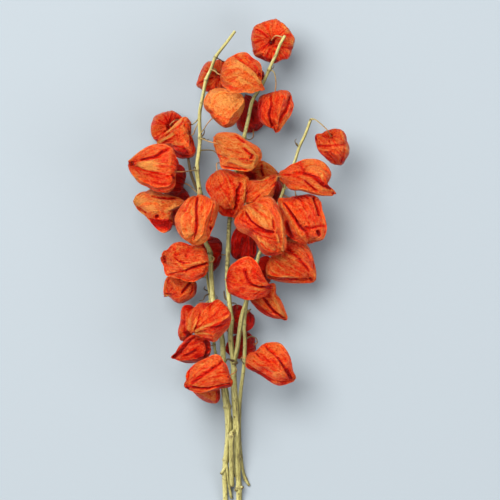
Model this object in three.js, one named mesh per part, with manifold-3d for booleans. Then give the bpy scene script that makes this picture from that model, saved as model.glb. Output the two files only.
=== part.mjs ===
// A bunch of dried physalis (Chinese lantern) stems, cut and lying on a table.
// Millimetres. +Y runs from the cut ends to the tips, +Z is up from the table.
import * as THREE from "three";
import { mergeVertices } from "three/addons/utils/BufferGeometryUtils.js";
import Module from "manifold-3d";

const wasm = await Module();
wasm.setup();

// Places below are measured from a point on the bundle. This moves them so that
// the middle of the bunch's underside is the origin.
const ORIGIN_SHIFT = [-0.15, 3.25, 0];

const HUSK_SIDES = 20; // four facets between one rib and the next
const RIBS = 5;
const RIB_STANDOUT = 1.05; // how far the ribs stand out past the half width
const MOUTH_DEPTH = 0.07; // of a husk's length, how far the stalk end is drawn in
const MOUTH_GAP = 0.8; // between a stalk's end and the bottom of the mouth
const STALK_SIDES = 4;
const STALK_STEPS = 4;
const STALK_ROOT = 0.8;
const STALK_END = 0.5;
const STEM_SIDES = 6;
const STEP_LENGTH = 13;

const TONES = { orange: 0xe2551f, red: 0xcc3314, deep: 0x9c1d0c };
const STRAW = 0xb9ad62;

// A husk from its mouth to its point: share of the length, share of the half width.
const HUSK_PROFILE = [
  [MOUTH_DEPTH, 0],
  [0.0, 0.3],
  [0.05, 0.7],
  [0.2, 0.96],
  [0.43, 1.0],
  [0.68, 0.8],
  [0.89, 0.34],
  [1.0, 0],
];

// Each stem from its cut end to its tip, with the radius at each end.
const STEMS = {
  stem_left: {
    radii: [2.5, 2.6, 3.0, 3.5, 2.9, 2.5, 2.4, 2.3, 2.2, 2.1, 1.9, 1.8, 1.6, 1.5],
    path: [
      [-14.6, -245, 2.6], [-15.2, -223, 8.5], [-15.6, -208, 13], [-14.3, -195, 17.5], [-12, -173, 23],
      [-11.8, -158, 28], [-13, -141, 32], [-16, -123, 36], [-17, -95, 43], [-18, -73, 47],
      [-23, -51, 51], [-27, -33, 54], [-29, -8, 56], [-30, 14, 57], [-35, 27, 58],
      [-39, 52, 60], [-40, 73, 60], [-43, 97, 60], [-41, 117, 60], [-40, 129, 60],
      [-40.5, 147, 61], [-40, 157, 62], [-37, 172, 64], [-34, 187, 66], [-29, 198, 66],
      [-24.5, 210, 66], [-14, 224, 66], [-5, 236, 66],
    ],
    knots: [
      [-14.3, -195, 17.5, 3.3], [-13, -141, 32, 3.9], [-30, 14, 57, 3.2], [-43, 97, 60, 2.8],
      [-40, 129, 60, 2.7],
    ],
    twigs: [
      { path: [[-41, 74, 60], [-47, 87, 53], [-50, 97, 50], [-52, 109, 48]], radii: [1.1, 0.7] },
      { path: [[-14.3, -200, 16.2], [-16, -204, 18], [-19.2, -209, 16.5]], radii: [1.6, 1.5] },
      {
        path: [[-14.3, -196, 18.5], [-12.5, -208, 16], [-11.1, -221, 8], [-8.8, -234, 3.5]],
        radii: [1.5, 1.4],
      },
    ],
  },
  stem_main: {
    radii: [3.0, 2.75, 3.7, 3.5, 2.7, 2.6, 2.4, 2.2, 2.05, 1.95, 1.85, 1.75, 1.6, 1.5],
    path: [
      [-1.4, -249, 2.8], [-1.2, -223, 8.5], [-2.2, -208, 12.5], [-2.8, -190, 17], [-3.5, -172, 21.5],
      [-3.9, -154, 26], [-4.6, -140, 29.3], [-5.4, -130, 32], [-6.3, -113, 36], [-6.6, -95, 41],
      [-9.6, -71, 47], [-9, -53, 51],
      [-11, -33, 52], [-13, -8, 52], [-12, 17, 50], [-11.5, 32, 47], [-10.5, 50, 42],
      [-9, 67, 39], [-7, 82, 41], [-4, 97, 46], [0, 112, 53], [4, 130, 56],
      [8, 147, 58], [12, 165, 60], [18, 176, 60], [22, 182, 61], [29, 197, 67],
      [32, 204, 71], [36, 212, 75], [40, 222, 78], [45, 231, 79],
    ],
    knots: [
      [-1.2, -223, 8.5, 4.0], [-8.3, -168.5, 31.5, 3.3], [-6.6, -95, 41, 3.4], [-12, 17, 50, 2.9], [4, 130, 56, 2.4],
      [29, 197, 67, 2.3],
    ],
    twigs: [
      {
        path: [
          [-6.6, -97, 40.5], [-3, -83, 45], [1, -53, 52], [6, -35, 58], [19, 12, 66], [30, 42, 66],
          [41, 69, 62], [45, 81, 60], [54, 103, 59], [59, 119, 61], [65, 132, 63], [71, 148, 64],
        ],
        radii: [2.3, 1.4],
      },
      { path: [[59, 119, 61], [56.5, 124, 63]], radii: [0.9, 0.7] },
      { path: [[-11, -31, 52], [-15, -25, 48]], radii: [1.0, 0.7] },
      {
        path: [
          [-4.5, -163, 24], [-8.3, -168, 31.5], [-8.6, -176, 31], [-8.6, -193, 25],
          [-8.5, -208, 17.5], [-8.2, -221, 11.5],
        ],
        radii: [2.1, 2.0],
      },
    ],
  },
  stem_right: {
    radii: [1.5, 1.9, 2.0, 1.9, 1.8, 1.5],
    path: [
      [9, -221, 1.6], [4.8, -213, 3.5], [2.2, -203, 6.5], [0.8, -192, 9], [-0.6, -178, 12.5],
      [-1.2, -160, 17.5], [-0.9, -148, 21.8], [-0.6, -140, 24.5], [-0.1, -133, 28], [0.9, -122, 32.5],
      [4, -98, 38], [5, -73, 42], [4, -58, 46], [7, -35, 48],
      [10, -25, 49],
    ],
    knots: [[5.5, -214.5, 3.2, 2.2], [4, -58, 46, 2.5]],
    twigs: [],
  },
  stem_slim: {
    radii: [1.6, 1.2],
    path: [
      [-6, -212, 1.8], [-6.5, -196, 5], [-7, -178, 10], [-8, -158, 15],
      [-12, -143, 21], [-13, -125, 27], [-18, -113, 31], [-21, -103, 36], [-26, -78, 43],
      [-30, -33, 45], [-32, -18, 47], [-34, -1, 48],
    ],
    knots: [],
    twigs: [{ path: [[-31, -29, 45], [-40, -35, 45]], radii: [0.8, 0.5] }],
  },
};

// Each husk: the middle of its mouth, its point, its width and thickness, and the
// stalk's way to it from its stem. A bend moves the middle of its axis.
const HUSKS = [
  { mouth: [32, 226, 70], point: [28, 221, 26], wide: 43, deep: 42, tone: "red", stem: "stem_main",
    stalk: [[44, 229, 79], [36, 231, 77]] },
  { mouth: [-19, 191, 81], point: [24, 178, 87], bend: [4, 16, 0], wide: 41, deep: 36, tone: "orange",
    stem: "stem_left", stalk: [[-29.5, 198, 66.5], [-24.5, 195.5, 73], [-21, 192.5, 79]] },
  { mouth: [-23, 192, 56], point: [-37, 190, 16], wide: 33, deep: 32, tone: "red", stem: "stem_left",
    stalk: [[-29, 200, 66], [-24, 197, 63]] },
  { mouth: [-28, 148, 80], point: [3, 169, 81], wide: 39, deep: 36, tone: "orange", stem: "stem_left",
    stalk: [[-40, 133, 60], [-36, 138, 70], [-32, 144, 78]] },
  { mouth: [13, 138, 13], point: [5, 174, 10], wide: 30, deep: 30, tone: "deep", stem: "stem_main",
    stalk: [[4, 130, 56], [9, 128, 38], [13, 131, 22]] },
  { mouth: [35, 176, 60], point: [35, 136, 60], wide: 35, deep: 34, tone: "red", stem: "stem_main",
    stalk: [[29, 197, 67], [34, 195, 66], [36, 184, 62]] },
  { mouth: [-72, 140.5, 36], point: [-76, 144, -5], wide: 33, deep: 32, tone: "red", stem: "stem_left",
    stalk: [[-40, 150, 61], [-47, 143.5, 50], [-54, 143, 33], [-61, 148, 36], [-67, 146, 46]] },
  { mouth: [-50, 131, 54], point: [-83, 124, 54], wide: 41, deep: 36, tone: "orange", stem: "stem_left",
    stalk: [[-40.5, 147, 61], [-45, 138, 60], [-47, 133, 56]] },
  { mouth: [-64, 96, 94], point: [-111, 104, 94], wide: 47, deep: 38, tone: "orange", stem: "stem_left",
    stalk: [[-43, 97, 60], [-50, 96, 78], [-57, 95, 91]] },
  { mouth: [-56, 85, 37], point: [-88, 93, 35], wide: 33, deep: 30, tone: "deep", stem: "stem_left",
    stalk: [[-40, 72, 60], [-46, 77, 48], [-51, 82, 40]] },
  { mouth: [-63, 60, 62], point: [-105, 61, 62], bend: [0, -6, 0], wide: 43, deep: 38, tone: "orange",
    stem: "stem_left", stalk: [[-40, 70, 60], [-52, 63, 63]] },
  { mouth: [-50, 62, 14], point: [-80, 57, 12], wide: 38, deep: 34, tone: "deep", stem: "stem_left",
    stalk: [[-40, 72, 60], [-39, 66, 38], [-45, 63, 20]] },
  { mouth: [-41, 71, 100], point: [-48, 22, 104], bend: [2, 0, 0], wide: 44, deep: 40, tone: "orange",
    stem: "stem_left", stalk: [[-40.5, 79, 60], [-41, 79, 78], [-41, 76, 93]] },
  { mouth: [-26, 124, 96], point: [22, 105, 96], wide: 38, deep: 34, tone: "orange", stem: "stem_left",
    stalk: [[-40, 129, 60], [-35, 127, 76], [-30.5, 125, 88]] },
  { mouth: [-25, 97, 66], point: [-4, 48, 65], wide: 40, deep: 38, tone: "red", stem: "stem_main",
    stalk: [[-4, 97, 46], [-13, 102, 49], [-23, 104, 58]] },
  { mouth: [4, 88, 38], point: [39, 94, 38], wide: 27, deep: 26, tone: "red", stem: "stem_main",
    stalk: [[-6, 92, 44], [0, 89, 41]] },
  { mouth: [9, 70, 70], point: [39, 92, 68], wide: 34, deep: 32, tone: "red", stem: "stem_main",
    stalk: [[-9, 62, 40], [0, 61, 54], [5, 65, 66]] },
  { mouth: [41, 91, 84], point: [95, 75, 82], bend: [0, 7, 0], wide: 36, deep: 32, tone: "red",
    stem: "stem_main", stalk: [[44, 79, 60], [41, 85, 68], [38, 90, 80]] },
  { mouth: [57, 69, 67], point: [70, 24, 66], wide: 46, deep: 40, tone: "red", stem: "stem_main",
    stalk: [[44, 78, 60], [52, 80, 66], [55, 76, 71]] },
  { mouth: [7, 60, 98], point: [43, 14, 98], wide: 48, deep: 42, tone: "orange", stem: "stem_main",
    stalk: [[35, 55, 65], [20, 57, 70], [9, 63, 80], [5.5, 63.5, 91]] },
  { mouth: [32, 11, 50], point: [75, -14, 48], wide: 40, deep: 38, tone: "red", stem: "stem_main",
    stalk: [[19, 12, 66], [25, 15, 58], [29, 13, 52]] },
  { mouth: [-12, -13, 88], point: [32, -20, 88], wide: 42, deep: 38, tone: "orange", stem: "stem_main",
    stalk: [[-12.5, -6, 51], [-14, -12, 66], [-15, -12.5, 80]] },
  { mouth: [16, -23, 48], point: [46, -53, 46], wide: 34, deep: 32, tone: "red", stem: "stem_right",
    stalk: [[9, -28, 49], [13, -22, 49]] },
  { mouth: [-32, 5, 78], point: [-78, 9, 78], wide: 40, deep: 38, tone: "orange", stem: "stem_left",
    stalk: [[-30, 12, 57], [-26, 9, 70], [-28, 5, 77]] },
  { mouth: [-48, -14, 43], point: [-76, -31, 42], wide: 28, deep: 28, tone: "red", stem: "stem_slim",
    stalk: [[-33, -10, 47], [-43, -11, 45]] },
  { mouth: [-19, 12, 28], point: [-50, 15, 28], wide: 36, deep: 34, tone: "deep", stem: "stem_main",
    stalk: [[-12, 14, 50], [-15, 12.5, 40], [-17, 12, 31]] },
  { mouth: [-18, -44, 78], point: [-47, -65, 98], wide: 43, deep: 38, tone: "orange", stem: "stem_left",
    stalk: [[-27, -33, 54], [-19, -37, 66], [-15, -41, 75]] },
  { mouth: [-40, -45, 42], point: [-58, -73, 38], wide: 32, deep: 30, tone: "deep", stem: "stem_slim",
    stalk: [[-30, -33, 45], [-36, -38, 45]] },
  { mouth: [-32, -80, 60], point: [-69, -90, 60], wide: 30, deep: 28, tone: "red", stem: "stem_slim",
    stalk: [[-26, -78, 43], [-27, -79, 54], [-29, -79, 59]] },
  { mouth: [-9, -108, 84], point: [-56, -118, 84], wide: 37, deep: 36, tone: "orange", stem: "stem_main",
    stalk: [[-5, -100, 41], [-3.5, -103, 60], [-4.5, -105, 76]] },
  { mouth: [-23, -121, 42], point: [-48, -125, 42], wide: 28, deep: 27, tone: "deep", stem: "stem_left",
    stalk: [[-16, -120, 37], [-20, -121, 41]] },
  { mouth: [8, -91, 70], point: [56, -112, 70], wide: 41, deep: 38, tone: "orange", stem: "stem_right",
    stalk: [[4, -98, 38], [1, -92, 55], [4, -90, 68]] },
  { mouth: [8, -45, 32], point: [-14, -65, 24], wide: 30, deep: 28, tone: "deep", stem: "stem_right",
    stalk: [[6, -44, 48], [10, -43, 42], [10.5, -43, 36]] },
  { mouth: [14, -78, 11], point: [-15, -82, 9], wide: 27, deep: 28, tone: "deep", stem: "stem_right",
    stalk: [[5, -73, 42], [11, -70, 30], [16, -72, 18], [17, -77, 13]] },
  { mouth: [91.5, 130, 72], point: [103, 103, 46], wide: 34, deep: 34, tone: "red", stem: "stem_main",
    stalk: [[71, 148, 64], [76, 147, 68], [86, 138, 77]] },
  { mouth: [1, 8, 42], point: [16, 38, 44], wide: 32, deep: 31, tone: "deep", stem: "stem_main",
    stalk: [[-12, 2, 51], [-6, 1, 43]] },
  { mouth: [46, 72, 24], point: [26, 86, 20], wide: 26, deep: 25, tone: "deep", stem: "stem_main",
    stalk: [[41, 69, 62], [49, 69, 42], [50, 69, 28]] },
  { mouth: [8, -2, 34], point: [32, -16, 30], wide: 30, deep: 28, tone: "deep", stem: "stem_right",
    stalk: [[10, -25, 49], [5, -12, 47], [5, -1, 38]] },
  { mouth: [-8, 199, 34], point: [24, 190, 30], wide: 30, deep: 30, tone: "deep", stem: "stem_left",
    stalk: [[-24.5, 210, 66], [-17, 206, 50], [-12, 201, 37]] },
  { mouth: [-14, 112, 32], point: [18, 118, 28], wide: 32, deep: 32, tone: "deep", stem: "stem_left",
    stalk: [[-40, 117, 60], [-28, 117, 44], [-20, 112, 34]] },
  { mouth: [18, 52, 13], point: [44, 38, 11], wide: 30, deep: 30, tone: "deep", stem: "stem_main",
    stalk: [[-11, 45, 43], [3, 54, 34], [12, 56, 26]] },
  { mouth: [54, 52, 13], point: [84, 36, 10], wide: 34, deep: 32, tone: "deep", stem: "stem_main",
    stalk: [[36, 57, 64], [46, 60, 42], [50, 56, 25]] },
];

function seededRandom(seed) {
  let state = seed >>> 0;
  return () => {
    state = (Math.imul(state, 1664525) + 1013904223) >>> 0;
    return state / 4294967296;
  };
}

// Joins a geometry's shared vertices and drops the faces that this closes.
function weld(geometry) {
  geometry.deleteAttribute("normal");
  geometry.deleteAttribute("uv");
  const welded = mergeVertices(geometry, 1e-4);
  const corners = welded.index.array;
  const kept = [];
  for (let i = 0; i < corners.length; i += 3) {
    const [a, b, c] = [corners[i], corners[i + 1], corners[i + 2]];
    if (a !== b && b !== c && c !== a) kept.push(a, b, c);
  }
  welded.setIndex(kept);
  return welded;
}

function toManifold(geometry) {
  const vertProperties = new Float32Array(geometry.attributes.position.array);
  const triVerts = new Uint32Array(geometry.index.array);
  return new wasm.Manifold(new wasm.Mesh({ numProp: 3, vertProperties, triVerts }));
}

function fromManifold(solid) {
  const { vertProperties, triVerts } = solid.getMesh();
  const geometry = new THREE.BufferGeometry();
  geometry.setAttribute("position", new THREE.BufferAttribute(vertProperties, 3));
  geometry.setIndex(new THREE.BufferAttribute(triVerts, 1));
  return geometry;
}

// The directions of a husk: along it, across it and through it.
function huskFrame(axis) {
  const along = axis.v2.clone().sub(axis.v0).normalize();
  const reference = Math.abs(along.z) > 0.85 ? new THREE.Vector3(0, 1, 0) : new THREE.Vector3(0, 0, 1);
  const across = along.clone().cross(reference).normalize();
  const through = across.clone().cross(along);
  return { along, across, through };
}

function huskAxis(row) {
  const mouth = new THREE.Vector3(...row.mouth);
  const point = new THREE.Vector3(...row.point);
  const bend = new THREE.Vector3(...(row.bend ?? [0, 0, 0]));
  const middle = mouth.clone().add(point).multiplyScalar(0.5).add(bend);
  return new THREE.QuadraticBezierCurve3(mouth, middle, point);
}

// A closed husk: a lathe form with five ribs and sunken faces between them, pressed
// flat where it lies on the table.
function huskGeometry(row, index) {
  const random = seededRandom(101 + index * 7);
  const axis = huskAxis(row);
  const { across, through } = huskFrame(axis);
  const turn = random() * Math.PI;
  const hollows = Array.from({ length: RIBS }, () => 0.08 + 0.14 * random());

  const outline = HUSK_PROFILE.map(([along, radius]) => new THREE.Vector2(radius, along));
  const geometry = new THREE.LatheGeometry(outline, HUSK_SIDES);
  const places = geometry.attributes.position;
  const place = new THREE.Vector3();
  for (let i = 0; i < places.count; i++) {
    const [x, along, z] = [places.getX(i), places.getY(i), places.getZ(i)];
    const radius = Math.hypot(x, z);
    const angle = Math.atan2(z, x);
    const ribPhase = (((angle - turn) / (2 * Math.PI)) * RIBS + 2 * RIBS) % RIBS;
    const hollow = hollows[Math.floor(ribPhase) % RIBS] * Math.sin(Math.PI * (ribPhase % 1)) ** 0.8;
    const reach = RIB_STANDOUT * radius * (1 - hollow);
    axis.getPoint(along, place);
    place.addScaledVector(across, (reach * Math.cos(angle) * row.wide) / 2);
    place.addScaledVector(through, (reach * Math.sin(angle) * row.deep) / 2);
    places.setXYZ(i, place.x, place.y, Math.max(place.z, 0));
  }
  return weld(geometry);
}

// The radius at a share of the way along, from radii spread evenly from end to end.
function radiusAt(radii, share) {
  const place = share * (radii.length - 1);
  const low = Math.min(Math.floor(place), radii.length - 2);
  return radii[low] + (radii[low + 1] - radii[low]) * (place - low);
}

// A closed tube along points, with its radii spread evenly from end to end.
function taperedTube(points, radii, sides, steps) {
  const curve = new THREE.CatmullRomCurve3(points.map((point) => new THREE.Vector3(...point)));
  const frames = curve.computeFrenetFrames(steps);
  const geometry = new THREE.CylinderGeometry(1, 1, 1, sides, steps);
  const places = geometry.attributes.position;
  const place = new THREE.Vector3();
  for (let i = 0; i < places.count; i++) {
    const share = 0.5 - places.getY(i);
    const step = Math.round(share * steps);
    const radius = radiusAt(radii, share);
    curve.getPointAt(step / steps, place);
    place.addScaledVector(frames.normals[step], radius * places.getX(i));
    place.addScaledVector(frames.binormals[step], radius * places.getZ(i));
    places.setXYZ(i, place.x, place.y, Math.max(place.z, 0));
  }
  return toManifold(weld(geometry));
}

function pathLength(points) {
  return new THREE.CatmullRomCurve3(points.map((point) => new THREE.Vector3(...point))).getLength();
}

// A stalk from its stem to just short of the bottom of a husk's mouth.
function stalk(row) {
  const axis = huskAxis(row);
  const end = axis.getPoint(MOUTH_DEPTH).addScaledVector(huskFrame(axis).along, -MOUTH_GAP);
  return taperedTube([...row.stalk, end.toArray()], [STALK_ROOT, STALK_END], STALK_SIDES, STALK_STEPS);
}

function knot([x, y, z, radius]) {
  return toManifold(weld(new THREE.SphereGeometry(radius, STEM_SIDES, 5))).translate([x, y, z]);
}

// One stem with its side twigs, knots and stalks, all grown together.
function stemGeometry(name) {
  const { path, radii, knots, twigs } = STEMS[name];
  const tubes = [taperedTube(path, radii, STEM_SIDES, Math.round(pathLength(path) / STEP_LENGTH))];
  for (const twig of twigs) {
    const steps = Math.max(2, Math.round(pathLength(twig.path) / STEP_LENGTH));
    tubes.push(taperedTube(twig.path, twig.radii, STEM_SIDES - 1, steps));
  }
  const stalks = HUSKS.filter((row) => row.stem === name).map(stalk);
  return fromManifold(wasm.Manifold.union([...tubes, ...knots.map(knot), ...stalks]));
}

function addMesh(group, name, geometry, color, roughness) {
  geometry.computeVertexNormals();
  const material = new THREE.MeshStandardMaterial({ color, roughness, metalness: 0 });
  const mesh = new THREE.Mesh(geometry, material);
  mesh.name = name;
  group.add(mesh);
}

const bunch = new THREE.Group();
for (const name of Object.keys(STEMS)) addMesh(bunch, name, stemGeometry(name), STRAW, 0.75);
HUSKS.forEach((row, index) => {
  const name = `lantern_${String(index + 1).padStart(2, "0")}`;
  addMesh(bunch, name, huskGeometry(row, index), TONES[row.tone], 0.6);
});
bunch.position.set(...ORIGIN_SHIFT);

export default bunch;
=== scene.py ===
"""Looks of a bunch of dried physalis stems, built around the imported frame.

Places and sizes in the tables are millimetres, measured as in the CAD source, and
become metres where a mesh is made. +Y runs from the cut ends to the tips, +Z is up.
"""

import math

import bpy
import numpy as np
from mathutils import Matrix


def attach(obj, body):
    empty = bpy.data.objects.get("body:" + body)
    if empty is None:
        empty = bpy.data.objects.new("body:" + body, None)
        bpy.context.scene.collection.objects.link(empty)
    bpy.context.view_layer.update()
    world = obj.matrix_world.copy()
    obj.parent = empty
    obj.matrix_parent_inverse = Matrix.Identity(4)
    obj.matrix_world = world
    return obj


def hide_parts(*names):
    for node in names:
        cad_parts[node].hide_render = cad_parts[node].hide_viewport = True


MM = 0.001  # m
TAU = 2 * math.pi
ORIGIN_SHIFT = np.array([-0.15, 3.25, 0.0])  # from the tables' origin to the row's

# The camera looks straight down. One millimetre fills one pixel at FOCUS_HEIGHT.
VIEW_CENTRE = np.array([10.0, 17.0])
VIEW_WIDTH = 500.0
FOCUS_HEIGHT = 70.0
CAMERA_DISTANCE = 6000.0
SENSOR = 36.0
CLIP = (0.1, 100)  # m
SPLINE_STEPS, LENGTH_POINTS = 24, 200

RIBS = 5
RIB_WIDTH = 0.035  # share of a face
HUSK_DETAIL = (130, 92)  # points round a husk, rings along it
BACK_DETAIL = (90, 60)  # the same for the deep red husks, which lie at the back
HUSK_SEED, HUSK_SEED_STEP = 500, 17
DRAWN_IN = 0.42  # share by which the faces draw in between the ribs at a husk's point
FOLD_SHARPNESS = 1.3  # 1 for straight sides, more for a narrower bottom
FOLD_SHADE_REACH = 1.6  # mm on either side of a fold over which its painted shade reaches (painted light for a ridge)
FOLD_SHADE_DEPTH, FOLD_SHADE_LIMIT = 3.0, 0.8  # mm for a shade of 1, and the most shade
# Painted shade: folds are darkened in the colour by this share, and ridges lightened.
FOLD_PAINTED_SHADE = 0.35
EDGE_HEIGHT = 0.45  # mm above its surroundings at which a ridge is fully worn and painted lit; as far below, a hollow is fully in painted shade
EDGE_CELLS = 3  # how many points away those surroundings reach
OUTLINE_POINTS = 500
OUTLINE_BINS = 180  # directions in which a husk is stretched to its outline
CENTRE_KEPT = 6.0  # mm round the middle of an outline over which the stretch sets in
HUSK_GRAIN_ROUND, HUSK_GRAIN_ALONG, STEM_GRAIN_ALONG = 3.0, 1.1, 0.02

# How the faces of a husk lie between its ribs. A pair is the least and the most.
FACE_SUNK = (0.02, 0.13)  # share of the radius
FACE_FOLDED = (0.0, 0.06)  # the same, along a line
DEEP_FOLDS, DEEP_FOLD = 2, (0.1, 0.24)  # how many faces fold in further, and how far
FOLD_LEAN = (0.34, 0.66)  # where that line lies, from rib to rib
FOLD_PLACE, FOLD_LENGTH = (0.35, 0.7), 0.36  # and where it is deepest, from mouth to point
RIB_CREST, VEIN_CREST = 0.026, 0.012  # share of half the width, as are the four below
COARSE_RELIEF, MOUTH_RELIEF, FINE_RELIEF, WRINKLE_RELIEF = 0.011, 0.014, 0.006, 0.010
PLANES, CREASES = dict(count=4, strength=0.07), dict(count=22, strength=0.055)
TIP_START = 0.74  # share of the length at which the ribs begin to end as lobes
LOBE_REACH = (-0.03, 0.035)  # share of the length

STEM_STEP, STALK_STEP = 1.3, 1.6  # mm between the rings of a stem and of a stalk
STEM_SIDES, TWIG_SIDES, STALK_SIDES = 20, 10, 8
TWIG_RADIUS = 1.2  # mm up to which a branch has the sides of a twig
LONG_PATH = 4  # a branch with more points than this is a side stem with knots
CUT_HOLLOW = 1.4  # mm of depth in a stem's cut end, if its radius is larger than this
TIP_HOLLOW = 2.5  # mm of depth in the other end of a stem or side stem
DRY_RINGS = 14
DRY_END = 2.4  # mm over which a cut end of a stem is brown
END_BROWN, KNOT_BROWN_LIMIT, STALK_BROWN = 0.9, 0.88, 0.18
KNOT_REACH = 3.2  # mm within which a stem has to pass a knot to swell there
KNOT_SWELLINGS = [(0.26, 2.6), (0.10, 0.9)]  # share of the radius, mm along the stem
KNOT_RING = (0.85, 1.2)  # how brown, mm along the stem
STALK_RADIUS = 0.55
STALK_FOOT, STALK_HEAD = (0.5, 0.08), (0.4, 0.1)  # mm wider, share of the length
STALK_GAP = 0.4  # mm past the mouth's middle
STEM_SEED, STEM_SEED_STEP, DRY_SEED, STALK_SEED = 1000, 100, 20, 40

PAINTED_LIGHT_SIDE = np.array([-0.85, 0.35, 0.25])  # the side towards the lamps, on which the stems are painted lighter as painted light
# Low ridges along a stem: how many go round it, how strong, and their turn per mm.
STEM_RIDGES = [(5, 0.6, 0.0), (3, 1.0, 0.02), (2, 0.8, 0.05)]

# How a tube ends: share of the radius, mm outwards and how brown, ring by ring.
CLOSED_END = [(0.85, 0.12, 0.0), (0.5, 0.16, 0.3), (0.0, 0.05, 0.4)]
HOLLOW_RIM = [(1.0, 0.15, 0.0), (0.72, 0.1, 0.0), (0.58, -0.5, 0.6)]

# A husk from its mouth to its point: share of the length, share of the half width.
HUSK_PROFILE = [
    (0.07, 0.0), (0.035, 0.12), (0.004, 0.29), (0.008, 0.47), (0.045, 0.68), (0.11, 0.86),
    (0.2, 0.965), (0.31, 1.0), (0.43, 0.995), (0.56, 0.93), (0.68, 0.81), (0.79, 0.63),
    (0.88, 0.43), (0.95, 0.23), (1.0, 0.0),
]
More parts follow.
